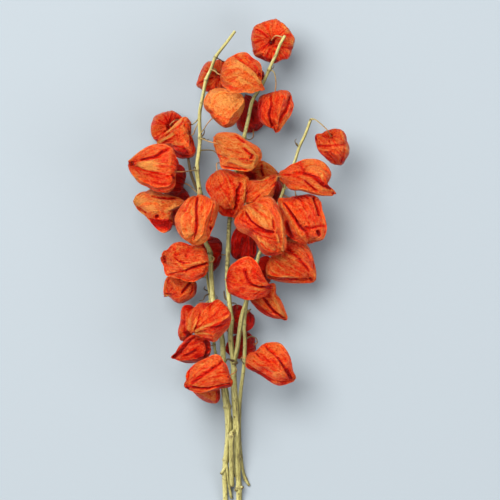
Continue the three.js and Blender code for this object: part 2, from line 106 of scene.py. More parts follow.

# Each stem from its cut end to its tip, with its radii spread evenly along it. A twig
# has a path and its radii, and a dry bit a path and the radius at each end. A brown
# stretch is a place, how far it reaches and how brown it is; the two on the main stem
# under the husks are partly brown and partly painted shadow from the husks above.
STEMS = {
    "stem_left": dict(radii=(2.5, 2.6, 3.0, 3.5, 2.9, 2.5, 2.4, 2.3, 2.2, 2.1, 1.9, 1.8, 1.6, 1.5), path=[
        (-14.6, -245, 2.6), (-15.2, -223, 8.5), (-15.6, -208, 13), (-14.3, -195, 17.5), (-12, -173, 23),
        (-11.8, -158, 28), (-13, -141, 32), (-16, -123, 36), (-17, -95, 43), (-18, -73, 47), (-23, -51, 51),
        (-27, -33, 54), (-29, -8, 56), (-30, 14, 57), (-35, 27, 58), (-39, 52, 60), (-40, 73, 60),
        (-43, 97, 60), (-41, 117, 60), (-40, 129, 60), (-40.5, 147, 61), (-40, 157, 62), (-37, 172, 64),
        (-34, 187, 66), (-29, 198, 66), (-24.5, 210, 66), (-14, 224, 66), (-5, 236, 66),
    ], knots=[
        (-14.3, -195, 17.5), (-13, -141, 32), (-30, 14, 57), (-43, 97, 60), (-40, 129, 60), (-34, 187, 66),
        (-24.5, 210, 66), (-40, 73, 60),
    ], twigs=[
        ([(-14.3, -200, 16.2), (-16, -204, 18), (-19.2, -209, 16.5)], (1.6, 1.5)),
        ([(-14.3, -196, 18.5), (-12.5, -208, 16), (-11.1, -221, 8), (-8.8, -234, 3.5)], (1.5, 1.4)),
    ], dry=[
        ([(-41, 74, 60), (-47, 87, 53), (-50, 97, 50), (-52, 109, 48)], (1.6, 1.2)),
        ([(-40, 130, 60), (-37, 132, 62), (-35.5, 136, 64), (-37, 138, 65)], (0.8, 0.3)),
        ([(-40, 128, 61), (-36, 129, 62), (-34, 127, 63), (-31, 128, 62)], (0.8, 0.3)),
        ([(-43, 98, 61), (-46, 100, 63), (-47, 98, 65)], (0.7, 0.3)),
        ([(-30, 15, 58), (-33.5, 13, 61), (-34, 10, 62)], (0.8, 0.3)),
        ([(-25, -35, 53), (-23, -31, 56), (-24, -28, 58)], (0.7, 0.3)),
    ]),
    "stem_main": dict(
        radii=(3.0, 2.75, 3.7, 3.5, 2.7, 2.6, 2.4, 2.2, 2.05, 1.95, 1.85, 1.75, 1.6, 1.5), path=[
        (-1.4, -249, 2.8), (-1.2, -223, 8.5), (-2.2, -208, 12.5), (-2.8, -190, 17), (-3.5, -172, 21.5),
        (-3.9, -154, 26), (-4.6, -140, 29.3), (-5.4, -130, 32), (-6.3, -113, 36), (-6.6, -95, 41),
        (-9.6, -71, 47), (-9, -53, 51), (-11, -33, 52), (-13, -8, 52), (-12, 17, 50), (-11.5, 32, 47),
        (-10.5, 50, 42), (-9, 67, 39), (-7, 82, 41), (-4, 97, 46), (0, 112, 53), (4, 130, 56), (8, 147, 58),
        (12, 165, 60), (18, 176, 60), (22, 182, 61), (29, 197, 67), (32, 204, 71), (36, 212, 75),
        (40, 222, 78), (45, 231, 79),
    # The first two brown stretches, under the husks, are partly painted shadow.
    ], browned_and_shaded=[
        ((-11, 42, 46), 19, 0.88), ((-12, 3, 51), 11, 0.88), ((20, 14, 66), 9, 0.85),
        ((42, 74, 62), 9, 0.6),
    ], knots=[
        (-1.2, -223, 8.5), (-8.4, -170.5, 31.5), (-6.6, -95, 41), (-12, 17, 50), (4, 130, 56),
        (29, 197, 67), (-9, -53, 51),
    ], twigs=[
        ([
            (-6.6, -97, 40.5), (-3, -83, 45), (1, -53, 52), (6, -35, 58), (19, 12, 66), (30, 42, 66),
            (41, 69, 62), (45, 81, 60), (54, 103, 59), (59, 119, 61), (65, 132, 63), (71, 148, 64),
        ], (2.3, 1.4)),
        ([(59, 119, 61), (56.5, 124, 63)], (0.9, 0.7)),
        ([(-8.4, -170, 31), (-8.2, -168, 34.6)], (3.0, 2.6)),
        ([(-2, -224, 8.5), (-4.6, -225.5, 11.8)], (2.0, 1.7)),
        ([(0, -224, 8.5), (2.4, -222.5, 11.8)], (2.0, 1.7)),
        ([(-1, -190, 17), (1.1, -191.5, 18.4)], (1.7, 1.1)),
        ([
            (-6.5, -166, 26), (-8.3, -168.5, 31.5), (-8.6, -176, 31), (-8.6, -193, 25), (-8.5, -208, 17.5),
            (-8.2, -221, 11.5),
        ], (2.7, 2.4)),
    ], dry=[
        ([(59, 120, 61), (56, 123, 64), (55, 126.5, 65), (56.5, 128, 65)], (0.8, 0.3)),
        ([(-5.4, -151, 28), (-5.5, -151.2, 30.4)], (1.2, 0.9)),
        ([(-11, -34, 52), (-15, -31, 50), (-16, -24, 50)], (1.3, 0.6)),
        ([(-5, -95, 42), (-9, -93.5, 46), (-12.5, -92.5, 46), (-14, -95, 46)], (1.5, 0.5)),
        ([(-3, -96, 42), (-4, -97, 47), (-8, -97.5, 47)], (1.3, 0.5)),
        ([(-9, -36, 52), (-4, -37, 54), (-2.5, -42, 54)], (0.7, 0.3)),
        ([(29, 197, 67), (33, 199, 70), (34, 202, 71)], (0.7, 0.3)),
    ]),
    "stem_right": dict(
        radii=(1.5, 1.9, 2.0, 1.9, 1.8, 1.5), knots=[(5.5, -214.5, 3.2), (4, -58, 46)], twigs=[], path=[
        (9, -221, 1.6), (4.8, -213, 3.5), (2.2, -203, 6.5), (0.8, -192, 9), (-0.6, -178, 12.5),
        (-1.2, -160, 17.5), (-0.9, -148, 21.8), (-0.6, -140, 24.5), (-0.1, -133, 28), (0.9, -122, 32.5),
        (4, -98, 38), (5, -73, 42), (4, -58, 46), (7, -35, 48), (10, -25, 49),
    ]),
    "stem_slim": dict(radii=(1.6, 1.2), knots=[(-26, -78, 43)], twigs=[], path=[
        (-6, -212, 1.8), (-6.5, -196, 5), (-7, -178, 10), (-8, -158, 15), (-12, -143, 21), (-13, -125, 27),
        (-18, -113, 31), (-21, -103, 36), (-26, -78, 43), (-30, -33, 45), (-32, -18, 47), (-34, -1, 48),
    ], dry=[
        ([(-31, -27, 46), (-35, -29, 49), (-37, -33, 49), (-41, -34, 48)], (0.8, 0.3)),
        ([(-33, -24, 46), (-36, -22, 49), (-35, -19, 50)], (0.7, 0.3)),
    ]),
}

# Each husk: the middle of its mouth, its point, how wide and deep it is, how much its
# middle bends aside, and its stalk from the stem to the mouth.
HUSKS = [
    dict(mouth=(32, 226, 70), point=(28, 221, 26), wide=43, deep=42, tone="red", stem="stem_main",
         stalk=[(44, 229, 79), (36, 231, 77)]),
    dict(mouth=(-19, 191, 81), point=(24, 178, 87), bend=(4, 16, 0), wide=41, deep=36, tone="orange",
         stem="stem_left", stalk=[(-29.5, 198, 66.5), (-24.5, 195.5, 73), (-21, 192.5, 79)]),
    dict(mouth=(-23, 192, 56), point=(-37, 190, 16), wide=33, deep=32, tone="red", stem="stem_left",
         stalk=[(-29, 200, 66), (-24, 197, 63)]),
    dict(mouth=(-28, 148, 80), point=(3, 169, 81), wide=39, deep=36, tone="orange", stem="stem_left",
         stalk=[(-40, 133, 60), (-36, 138, 70), (-32, 144, 78)]),
    dict(mouth=(13, 138, 13), point=(5, 174, 10), wide=30, deep=30, tone="deep", stem="stem_main",
         stalk=[(4, 130, 56), (9, 128, 38), (13, 131, 22)]),
    dict(mouth=(35, 176, 60), point=(35, 136, 60), wide=35, deep=34, tone="red", stem="stem_main",
         stalk=[(29, 197, 67), (34, 195, 66), (36, 184, 62)]),
    dict(mouth=(-72, 140.5, 36), point=(-76, 144, -5), wide=33, deep=32, tone="red", stem="stem_left",
         stalk=[(-40, 150, 61), (-47, 143.5, 50), (-54, 143, 33), (-61, 148, 36), (-67, 146, 46)]),
    dict(mouth=(-50, 131, 54), point=(-83, 124, 54), wide=41, deep=36, tone="orange", stem="stem_left",
         stalk=[(-40.5, 147, 61), (-45, 138, 60), (-47, 133, 56)]),
    dict(mouth=(-64, 96, 94), point=(-111, 104, 94), wide=47, deep=38, tone="orange", stem="stem_left",
         stalk=[(-43, 97, 60), (-50, 96, 78), (-57, 95, 91)]),
    dict(mouth=(-56, 85, 37), point=(-88, 93, 35), wide=33, deep=30, tone="deep", stem="stem_left",
         stalk=[(-40, 72, 60), (-46, 77, 48), (-51, 82, 40)]),
    dict(mouth=(-63, 60, 62), point=(-105, 61, 62), bend=(0, -6, 0), wide=43, deep=38, tone="orange",
         stem="stem_left", stalk=[(-40, 70, 60), (-52, 63, 63)]),
    dict(mouth=(-50, 62, 14), point=(-80, 57, 12), wide=38, deep=34, tone="deep", stem="stem_left",
         stalk=[(-40, 72, 60), (-39, 66, 38), (-45, 63, 20)]),
    dict(mouth=(-41, 71, 100), point=(-48, 22, 104), bend=(2, 0, 0), wide=44, deep=40, tone="orange",
         stem="stem_left", stalk=[(-40.5, 79, 60), (-41, 79, 78), (-41, 76, 93)]),
    dict(mouth=(-26, 124, 96), point=(22, 105, 96), wide=38, deep=34, tone="orange", stem="stem_left",
         stalk=[(-40, 129, 60), (-35, 127, 76), (-30.5, 125, 88)]),
    dict(mouth=(-25, 97, 66), point=(-4, 48, 65), wide=40, deep=38, tone="red", stem="stem_main",
         stalk=[(-4, 97, 46), (-13, 102, 49), (-23, 104, 58)]),
    dict(mouth=(4, 88, 38), point=(39, 94, 38), wide=27, deep=26, tone="red", stem="stem_main",
         stalk=[(-6, 92, 44), (0, 89, 41)]),
    dict(mouth=(9, 70, 70), point=(39, 92, 68), wide=34, deep=32, tone="red", stem="stem_main",
         stalk=[(-9, 62, 40), (0, 61, 54), (5, 65, 66)]),
    dict(mouth=(41, 91, 84), point=(95, 75, 82), bend=(0, 7, 0), wide=36, deep=32, tone="red",
         stem="stem_main", stalk=[(44, 79, 60), (41, 85, 68), (38, 90, 80)]),
    dict(mouth=(57, 69, 67), point=(70, 24, 66), wide=46, deep=40, tone="red", stem="stem_main",
         stalk=[(44, 78, 60), (52, 80, 66), (55, 76, 71)]),
    dict(mouth=(7, 60, 98), point=(43, 14, 98), wide=48, deep=42, tone="orange", stem="stem_main",
         stalk=[(35, 55, 65), (20, 57, 70), (9, 63, 80), (5.5, 63.5, 91)]),
    dict(mouth=(32, 11, 50), point=(75, -14, 48), wide=40, deep=38, tone="red", stem="stem_main",
         stalk=[(19, 12, 66), (25, 15, 58), (29, 13, 52)]),
    dict(mouth=(-12, -13, 88), point=(32, -20, 88), wide=42, deep=38, tone="orange", stem="stem_main",
         stalk=[(-12.5, -6, 51), (-14, -12, 66), (-15, -12.5, 80)]),
    dict(mouth=(16, -23, 48), point=(46, -53, 46), wide=34, deep=32, tone="red", stem="stem_right",
         stalk=[(9, -28, 49), (13, -22, 49)]),
    dict(mouth=(-32, 5, 78), point=(-78, 9, 78), wide=40, deep=38, tone="orange", stem="stem_left",
         stalk=[(-30, 12, 57), (-26, 9, 70), (-28, 5, 77)]),
    dict(mouth=(-48, -14, 43), point=(-76, -31, 42), wide=28, deep=28, tone="red", stem="stem_slim",
         stalk=[(-33, -10, 47), (-43, -11, 45)]),
    dict(mouth=(-19, 12, 28), point=(-50, 15, 28), wide=36, deep=34, tone="deep", stem="stem_main",
         stalk=[(-12, 14, 50), (-15, 12.5, 40), (-17, 12, 31)]),
    dict(mouth=(-18, -44, 78), point=(-47, -65, 98), wide=43, deep=38, tone="orange", stem="stem_left",
         stalk=[(-27, -33, 54), (-19, -37, 66), (-15, -41, 75)]),
    dict(mouth=(-40, -45, 42), point=(-58, -73, 38), wide=32, deep=30, tone="deep", stem="stem_slim",
         stalk=[(-30, -33, 45), (-36, -38, 45)]),
    dict(mouth=(-32, -80, 60), point=(-69, -90, 60), wide=30, deep=28, tone="red", stem="stem_slim",
         stalk=[(-26, -78, 43), (-27, -79, 54), (-29, -79, 59)]),
    dict(mouth=(-9, -108, 84), point=(-56, -118, 84), wide=37, deep=36, tone="orange", stem="stem_main",
         stalk=[(-5, -100, 41), (-3.5, -103, 60), (-4.5, -105, 76)]),
    dict(mouth=(-23, -121, 42), point=(-48, -125, 42), wide=28, deep=27, tone="deep", stem="stem_left",
         stalk=[(-16, -120, 37), (-20, -121, 41)]),
    dict(mouth=(8, -91, 70), point=(56, -112, 70), wide=41, deep=38, tone="orange", stem="stem_right",
         stalk=[(4, -98, 38), (1, -92, 55), (4, -90, 68)]),
    dict(mouth=(8, -45, 32), point=(-14, -65, 24), wide=30, deep=28, tone="deep", stem="stem_right",
         stalk=[(6, -44, 48), (10, -43, 42), (10.5, -43, 36)]),
    dict(mouth=(14, -78, 11), point=(-15, -82, 9), wide=27, deep=28, tone="deep", stem="stem_right",
         stalk=[(5, -73, 42), (11, -70, 30), (16, -72, 18), (17, -77, 13)]),
    dict(mouth=(91.5, 130, 72), point=(103, 103, 46), wide=34, deep=34, tone="red", stem="stem_main",
         stalk=[(71, 148, 64), (76, 147, 68), (86, 138, 77)]),
    dict(mouth=(1, 8, 42), point=(16, 38, 44), wide=32, deep=31, tone="deep", stem="stem_main",
         stalk=[(-12, 2, 51), (-6, 1, 43)]),
    dict(mouth=(46, 72, 24), point=(26, 86, 20), wide=26, deep=25, tone="deep", stem="stem_main",
         stalk=[(41, 69, 62), (49, 69, 42), (50, 69, 28)]),
    dict(mouth=(8, -2, 34), point=(32, -16, 30), wide=30, deep=28, tone="deep", stem="stem_right",
         stalk=[(10, -25, 49), (5, -12, 47), (5, -1, 38)]),
    dict(mouth=(-8, 199, 34), point=(24, 190, 30), wide=30, deep=30, tone="deep", stem="stem_left",
         stalk=[(-24.5, 210, 66), (-17, 206, 50), (-12, 201, 37)]),
    dict(mouth=(-14, 112, 32), point=(18, 118, 28), wide=32, deep=32, tone="deep", stem="stem_left",
         stalk=[(-40, 117, 60), (-28, 117, 44), (-20, 112, 34)]),
    dict(mouth=(18, 52, 13), point=(44, 38, 11), wide=30, deep=30, tone="deep", stem="stem_main",
         stalk=[(-11, 45, 43), (3, 54, 34), (12, 56, 26)]),
    dict(mouth=(54, 52, 13), point=(84, 36, 10), wide=34, deep=32, tone="deep", stem="stem_main",
         stalk=[(36, 57, 64), (46, 60, 42), (50, 56, 25)]),
]

# What each husk that shows is like from above, by its number. An outline runs round
# the husk. A fold is a line, its depth (a ridge where negative) and how far it reaches
# to the left and right of the line. A tint is a line, its width and how golden it is
# (deep red where negative). Besides golden wear, the tints hold painted highlights on
# lit faces. They also hold painted shade in folds and dimples, on faces turned away and
# where a neighbour casts its shadow. Light raises the tone of the whole husk, partly for
# its own paler colour and partly as painted light, and lowers it as painted shade for
# husks lying in shadow. Turn is where its ribs begin, collapse how far its faces fold
# in and crumple how crushed it is.
HUSK_LOOKS = {
    1: dict(light=0.04, outline=[
        (14, 241), (21, 244.5), (29, 247.3), (37, 247.6), (42, 245), (48, 239), (53, 232.5), (54.5, 228),
        (53, 219), (49.5, 209.5), (42, 207.5), (35, 204), (28, 205.5), (20, 209), (14.5, 212), (12, 221),
        (11, 229), (12, 236),
    ], folds=[
        ([(17, 238), (22, 235), (28, 230)], 1.4, 1.5, 2), ([(33, 221), (44, 220), (53, 218)], 1.8, 2, 3),
        ([(28, 222), (22, 219), (14, 214)], 1.6, 3, 2), ([(30, 218), (27, 211), (26, 205)], 1.2, 2, 2),
        ([(34, 216), (36, 205)], 1.5, 2, 2), ([(34, 228), (41, 234), (47, 239)], 1, 2, 2),
        ([(31.5, 224.5), (32.5, 225.5)], 3, 4, 4),
    ], tints_and_painted_light=[
        ([(46, 238), (48, 236)], 1.6, 0.9), ([(52, 226), (53, 223)], 1.5, 0.8),
        ([(43, 241), (45, 240)], 1.5, 0.6), ([(13, 227), (15, 227)], 1.2, 0.6),
        ([(20, 209), (34, 206)], 3, -0.7), ([(36, 207), (48, 210)], 2.5, -0.5),
        ([(30.5, 224), (33, 225.5)], 1.8, -1.8), ([(24, 226), (40, 226)], 7, -0.15),
    ]),
    2: dict(light=0.09, turn=0.4, outline=[
        (-14, 206.5), (-7, 211), (-2, 213.5), (4, 214.5), (8, 213), (13, 208.5), (19, 205), (21.5, 200),
        (22, 194), (21.5, 187), (23, 181), (25.5, 177), (19, 175.5), (12, 173), (5, 174), (-2, 173),
        (-8, 174), (-14, 178), (-19, 183), (-20, 191), (-18, 199),
    ], folds=[
        ([(-3, 208), (4, 204), (11, 199), (17, 193), (20, 187)], 3.5, 5, 1.2),
        ([(-7, 206), (0, 200.5), (8, 195), (15, 189.5), (20, 183)], -1.3, 2, 4),
        ([(-14, 186), (-4, 180), (6, 178), (18, 178)], -0.8, 3, 3),
        ([(-14, 196), (-2, 190), (8, 184), (18, 180)], -0.5, 1.5, 2.5),
    ], tints_and_painted_light=[
        ([(-3, 205), (0, 201.5), (8, 196.5), (15, 191), (20, 184)], 1.5, 1.4),
        ([(-2, 188), (4, 182)], 1.1, 0.8), ([(2, 186), (12, 181)], 1, 0.6),
        ([(4, 176), (16, 175)], 1.1, 0.7), ([(-8, 200), (-2, 197)], 3, 0.5),
        ([(-14, 198), (-12, 188)], 3, -0.1), ([(-5, 190), (10, 186)], 8, 0.28),
        ([(14, 201), (17.5, 195.5)], 1.6, -1.3), ([(19.3, 192), (21, 188)], 1.6, -2),
        ([(6, 211), (12, 207)], 2.5, -0.6), ([(-10, 178.5), (10, 178)], 1.5, -0.5),
    ]),
    3: dict(light=0.04, outline=[
        (-28, 207), (-20, 208), (-14, 205), (-10, 198), (-10, 188), (-15, 180), (-22, 177), (-28, 175.5),
        (-34, 176), (-39, 178.5), (-42.5, 180.5), (-44, 183), (-42.5, 188), (-40, 196), (-37, 202),
        (-33, 206),
    ], folds=[
        ([(-43, 184), (-35, 188), (-27, 190)], 2.2, 1.5, 3),
        ([(-20, 188), (-24, 183), (-23, 178)], 1.5, 2, 2), ([(-18, 194), (-17, 206)], 1, 2, 2),
        ([(-24, 193), (-34, 196), (-40, 197)], 1, 2, 3), ([(-20.5, 191), (-19.5, 191)], 3, 4, 4),
    ], tints_and_painted_light=[
        ([(-20.5, 191), (-19.5, 191)], 1.6, -1.8), ([(-33, 178), (-20, 178)], 2.2, -0.8),
        ([(-37, 199), (-38, 190)], 3, 0.3), ([(-30, 184), (-28, 183)], 2, 0.35),
        ([(-31, 204), (-22, 206)], 2, 0.2), ([(-41, 185), (-34, 187)], 1.6, -0.7),
    ]),
    4: dict(light=0.26, crumple=0.4, collapse=0.2, turn=1.0, outline=[
        (-20, 178.8), (-15, 178), (-10, 176), (-4, 174), (2, 172), (4.5, 167), (4.5, 162), (3, 156),
        (0, 150), (-4, 144), (-8, 140.5), (-14, 139), (-19, 141), (-24, 145), (-28, 149), (-30, 153),
        (-34.5, 157), (-36.5, 163), (-35, 170), (-31, 175), (-26, 178),
    ], folds=[
        ([(-28, 150), (-18, 153), (-8, 160), (-1, 167)], -0.5, 2, 2),
        ([(-2, 163), (-8, 156), (-16, 149)], 0.5, 1.5, 1.5),
        ([(-30, 155), (-22, 150), (-12, 147), (-2, 149)], 0.8, 2, 3),
    ], tints_and_painted_light=[
        ([(-16, 164), (-4, 162)], 6, 0.55), ([(-24, 172), (-10, 170)], 6, 0.25),
        ([(2, 167), (0, 156)], 3, 0.4), ([(-34, 158), (-26, 150), (-15, 142)], 3, -0.6),
        ([(-12, 142), (-4, 146)], 4, -0.35), ([(-7, 158), (-2, 163.5)], 0.8, -0.5),
        ([(-17, 154), (-11, 159)], 0.8, -0.35),
    ]),
    6: dict(turn=0.9, collapse=0.3, outline=[
        (22, 172), (26, 173), (31, 175), (37, 176.3), (43, 177.3), (48, 176.5), (51, 173), (52.3, 168),
        (54, 163), (53, 158), (51, 152), (47, 146.5), (42.5, 140), (39, 135.5), (35.5, 134.3), (33.5, 138),
        (29, 139.5), (23, 143), (19.5, 147), (18, 154), (18, 163), (19, 169),
    ], folds=[
        ([(31, 176), (31, 168), (31.5, 160), (29, 152), (30, 146), (33.5, 138)], 2.2, 2.5, 2.5),
        ([(50.5, 170), (49, 163), (46, 156), (42, 150), (40, 145)], 2.2, 1.6, 3),
        ([(22, 158), (25, 150)], -0.6, 1.5, 1.5),
        ([(40, 176), (40, 165), (38, 155), (37, 142)], -0.6, 3, 3),
    ], tints_and_painted_light=[
        ([(49, 170), (49, 163), (46, 156), (41.5, 149.5)], 0.9, -0.9),
        ([(30.5, 160), (29, 152), (32, 142)], 1.3, -0.9), ([(49, 153), (45, 147), (41.5, 141)], 2, 0.7),
        ([(44, 173), (46, 169)], 4, 0.2), ([(33, 173), (33, 167)], 1.5, 0.3),
        ([(24, 166), (23, 150)], 4, -0.35), ([(19, 165), (19, 148)], 2.5, -0.9),
        ([(34, 136), (35, 136)], 1, -1.2),
    ]),
    7: dict(outline=[
        (-88.5, 148), (-86, 152), (-80, 155), (-75, 156.3), (-69, 158), (-64, 155.5), (-59, 151.5),
        (-55, 146), (-57, 139), (-64, 131), (-72, 126), (-80, 125), (-85, 126.5), (-88.5, 131.5),
        (-90, 139),
    ], folds=[
        ([(-70, 142), (-62, 150)], 2.5, 3, 3), ([(-72, 139), (-80, 133), (-86, 129)], 1.2, 1.5, 2),
        ([(-71, 143), (-70, 150), (-68, 157)], 1.2, 2, 2), ([(-74, 138), (-79, 131)], 0.8, 1.5, 1.5),
        ([(-74, 143), (-82, 147)], 0.8, 2, 2), ([(-71.5, 140.5), (-70.5, 140.5)], 3, 4, 4),
    ], tints_and_painted_light=[
        ([(-71.8, 140.3), (-71, 140.7)], 1.3, -2), ([(-72, 147), (-63, 151)], 4.5, -0.6),
        ([(-84, 128), (-83, 127.5)], 2, -1), ([(-86, 140), (-82, 137)], 3, 0.35),
        ([(-86, 150), (-80, 153)], 2, 0.35), ([(-74, 155), (-70, 156.5)], 1.5, 0.3),
    ]),
    8: dict(outline=[
        (-55, 151), (-52, 149), (-49.3, 145.5), (-49, 140), (-49, 134), (-47, 128), (-45.5, 122),
        (-44, 117), (-46, 111.5), (-52, 109.3), (-60, 109), (-67, 113), (-72, 119), (-78, 122.5),
        (-83.5, 123.5), (-82, 127.5), (-77, 133), (-70, 139), (-64, 145), (-59, 149.5),
    ], folds=[
        ([(-57.3, 150), (-58, 145), (-62, 141), (-68, 137.5), (-75, 132)], 2.4, 2.2, 1),
        ([(-66, 131.5), (-72, 127.5), (-80, 123.5)], 1.8, 2.5, 1),
        ([(-73, 135), (-78, 130)], 1.0, 1.2, 1.2), ([(-66, 121), (-57, 120), (-52, 114)], 2, 1.5, 4),
        ([(-50, 135), (-48, 122)], 1.5, 2, 2),
    ], tints_and_painted_light=[
        ([(-58, 148), (-62, 145), (-68, 139), (-72.5, 135.7)], 2.1, 1.5),
        ([(-67.5, 132.5), (-72, 130), (-78, 126.5), (-82.5, 124.5)], 1.5, 1.5),
        ([(-57, 149), (-58, 145), (-62, 140.7), (-69, 136.5)], 0.8, -1),
        ([(-64, 115), (-54, 112)], 4.5, -1.3), ([(-49, 134), (-47, 121), (-46, 116)], 1.8, -0.8),
        ([(-56, 138), (-54, 132)], 3.5, 0.45), ([(-66, 124), (-60, 124)], 2, 0.4),
        ([(-75, 125.5), (-68, 128)], 1.6, -0.4),
    ]),
    9: dict(crumple=0.7, light=-0.03, outline=[
        (-83, 122.7), (-90, 121), (-97, 117.3), (-104, 112), (-109, 107.5), (-112, 104.5), (-111, 98.5),
        (-109, 94), (-105, 88.5), (-101, 84), (-97, 81.5), (-92, 79.5), (-86, 76), (-79, 74), (-72, 74),
        (-66, 78), (-64, 84), (-64, 90), (-63, 96), (-61, 101), (-61, 105), (-64, 111), (-67, 118),
        (-73, 122),
    ], folds=[
        ([(-72, 118.5), (-77, 116), (-83, 111.5), (-90, 109.3), (-98, 107.5), (-107, 104.5)], 3.2, 5, 1.0),
        ([(-103, 99.5), (-95, 96), (-88, 94.3), (-80, 93.5), (-71, 91)], 1.8, 1.5, 4),
        ([(-104, 104), (-92, 104.5), (-80, 106)], -1, 3, 3), ([(-94, 112), (-85, 117)], 0.7, 2, 2),
        ([(-88, 88), (-76, 84)], -0.6, 1.5, 1.5), ([(-86, 82), (-74, 80)], -0.6, 1.5, 1.5),
        ([(-69, 117), (-70, 105), (-69, 94)], -0.8, 3, 3),
        ([(-109.5, 103.5), (-108.5, 103.3)], 2, 2.5, 2.5),
    ], tints_and_painted_light=[
        ([(-100, 103.5), (-88, 103.5)], 3, 1.1), ([(-98, 100), (-90, 98), (-84, 97.5)], 2.5, 1),
        ([(-88, 101), (-83, 103)], 3.5, 0.6), ([(-77, 102.5), (-75, 102.5)], 1, 0.8),
        ([(-104, 93), (-94, 87)], 6, 0.25), ([(-104, 90), (-100, 86)], 2, 0.4),
        ([(-110, 106.5), (-104, 111.5), (-96, 117.5)], 1, 1), ([(-91, 113), (-86, 116)], 3.5, 0.35),
        ([(-77, 115.5), (-83, 111), (-90, 109), (-98, 107.2)], 1.1, -1.4),
        ([(-110, 103.5), (-107, 103)], 1.5, -1.8), ([(-84, 88), (-72, 84)], 7, -0.2),
        ([(-80, 94), (-70, 91.5)], 1.2, 0.5), ([(-62.5, 106), (-62, 99)], 2, -1),
        ([(-67.5, 91.5), (-66, 89)], 0.8, -3),
    ]),
    11: dict(light=0.1, crumple=0.8, outline=[
        (-107.3, 65), (-105.5, 70), (-102.5, 73), (-98, 75), (-94.5, 75.5), (-90, 78), (-84, 76),
        (-77, 73.5), (-70, 72), (-64, 70.5), (-58, 68.5), (-54.5, 65.5), (-59, 61.5), (-64.5, 58.5),
        (-67, 55), (-67, 45), (-68.5, 38.5), (-71.5, 35.5), (-75.5, 34), (-80, 35.7), (-85, 40),
        (-90, 45.5), (-95, 51), (-100.5, 55), (-104.5, 60),
    ], folds=[
        ([(-103, 60), (-98, 57), (-94.5, 54)], 1.5, 1.5, 1.5),
        ([(-87, 71.5), (-80, 70), (-73, 69), (-64, 69)], 2, 1.2, 2.5),
        ([(-96, 49.5), (-88, 47.6), (-82, 47), (-72, 46.7), (-67, 46.5)], 1.8, 1, 4),
        ([(-83.7, 50.7), (-82.8, 50.8)], 4, 1.8, 1.8), ([(-88, 53), (-84, 55), (-80, 53)], -1, 2, 2),
        ([(-86, 77), (-82, 74), (-76, 73)], 1, 1.5, 1.5), ([(-74, 57), (-68, 60)], -0.8, 2, 2),
    ], tints_and_painted_light=[
        ([(-104, 68), (-102, 64)], 3.5, 1.2), ([(-101, 69), (-97, 67)], 3, 0.5),
        ([(-96, 58), (-88, 60)], 2.5, 0.7), ([(-74, 56), (-70, 57.5), (-66, 61)], 1.6, 0.9),
        ([(-98, 54), (-96, 53)], 1.6, 0.9), ([(-78, 48.5), (-72, 51)], 1.6, 0.5),
        ([(-87, 57), (-84, 56)], 2, 0.6), ([(-93, 67), (-78, 62)], 7, 0.3),
        ([(-66, 66), (-60, 66)], 2.5, -0.1), ([(-83.8, 50.5), (-82.6, 50.9)], 1.3, -4),
        ([(-86, 43), (-72, 41)], 4.6, -2.0), ([(-76, 45), (-68, 44)], 2, -0.5),
        ([(-102.5, 59.5), (-98, 57), (-95, 54.5)], 1, -1.1),
        ([(-82, 69), (-72, 68.5), (-66, 69)], 1.1, -1.1),
    ]),
    13: dict(light=0.07, turn=2.2, collapse=0.3, crumple=0.6, outline=[
        (-44, 71.5), (-40, 72.5), (-36, 71.3), (-31, 69), (-25, 66.5), (-21.5, 62), (-22, 54), (-24, 46.5),
        (-25.5, 41), (-28, 36), (-30, 30.5), (-33, 26), (-38, 22.8), (-43, 21.8), (-48, 22.5), (-52, 25),
        (-57, 28.5), (-61, 33), (-64, 40), (-65, 48), (-63, 54), (-59, 60.5), (-54, 66.5), (-49, 70),
    ], folds=[
        ([(-42.5, 70), (-43, 60), (-43, 50), (-43, 40), (-44, 34), (-47, 28)], 3, 2.4, 2.4),
        ([(-26, 62), (-28, 50), (-31, 41), (-32, 31)], 1.2, 2.5, 2),
        ([(-28.5, 39), (-28.5, 37)], 2.5, 2, 2), ([(-52, 68), (-57, 55), (-57, 42), (-53, 30)], -0.6, 3, 3),
        ([(-35, 68), (-36, 50), (-40, 32)], -0.7, 3, 3),
    ], tints_and_painted_light=[
        ([(-42.6, 68), (-43, 60), (-43, 50), (-43.2, 40), (-44, 34)], 1.2, -1),
        ([(-29, 39), (-28.7, 37)], 1.5, -1.3), ([(-48.5, 57), (-47, 50), (-47, 45)], 1, 0.7),
        ([(-52, 34), (-46, 28), (-38, 26)], 5, 0.55), ([(-40, 40), (-37, 34)], 4, 0.2),
        ([(-59, 48), (-57, 34)], 2, 0.25), ([(-51, 44), (-50, 36)], 3.5, 0.3),
        ([(-34, 60), (-32, 50)], 4, 0.05),
    ]),
    14: dict(light=0.14, crumple=1.1, outline=[
        (-25.5, 131), (-27, 126), (-26, 120), (-24, 115), (-22.5, 111), (-20, 106), (-19.5, 100), (-17, 98),
        (-10, 97), (-3, 96.3), (4, 95.3), (10, 95.5), (15, 99), (18.5, 103), (21.5, 108), (22, 112.5),
        (20.5, 117), (17.5, 120.3), (12, 123.3), (5, 127.5), (-1, 132), (-6, 134), (-13, 134.3),
        (-20, 133.5),
    ], folds=[
        ([(-5, 131.5), (0, 127.5), (7, 123), (14, 116.5), (18, 112)], 1.8, 1, 2),
        ([(4, 118), (9, 113.5), (13, 111.5), (12, 108.5), (9, 106)], 2.4, 1.2, 3),
        ([(-9, 106), (-2, 103), (4, 100.8), (13, 99.5)], -1.2, 2.5, 2),
        ([(0, 107.5), (8, 107.3)], 1, 1.5, 1.5),
        ([(5, 122), (11, 117), (16.5, 110.5), (13, 102)], -1, 1.5, 2),
        ([(-23, 112), (-14, 108), (-4, 104)], 1.2, 2, 1.5), ([(-20, 101), (-8, 98.5), (6, 97)], 1.2, 1, 2),
    ], tints_and_painted_light=[
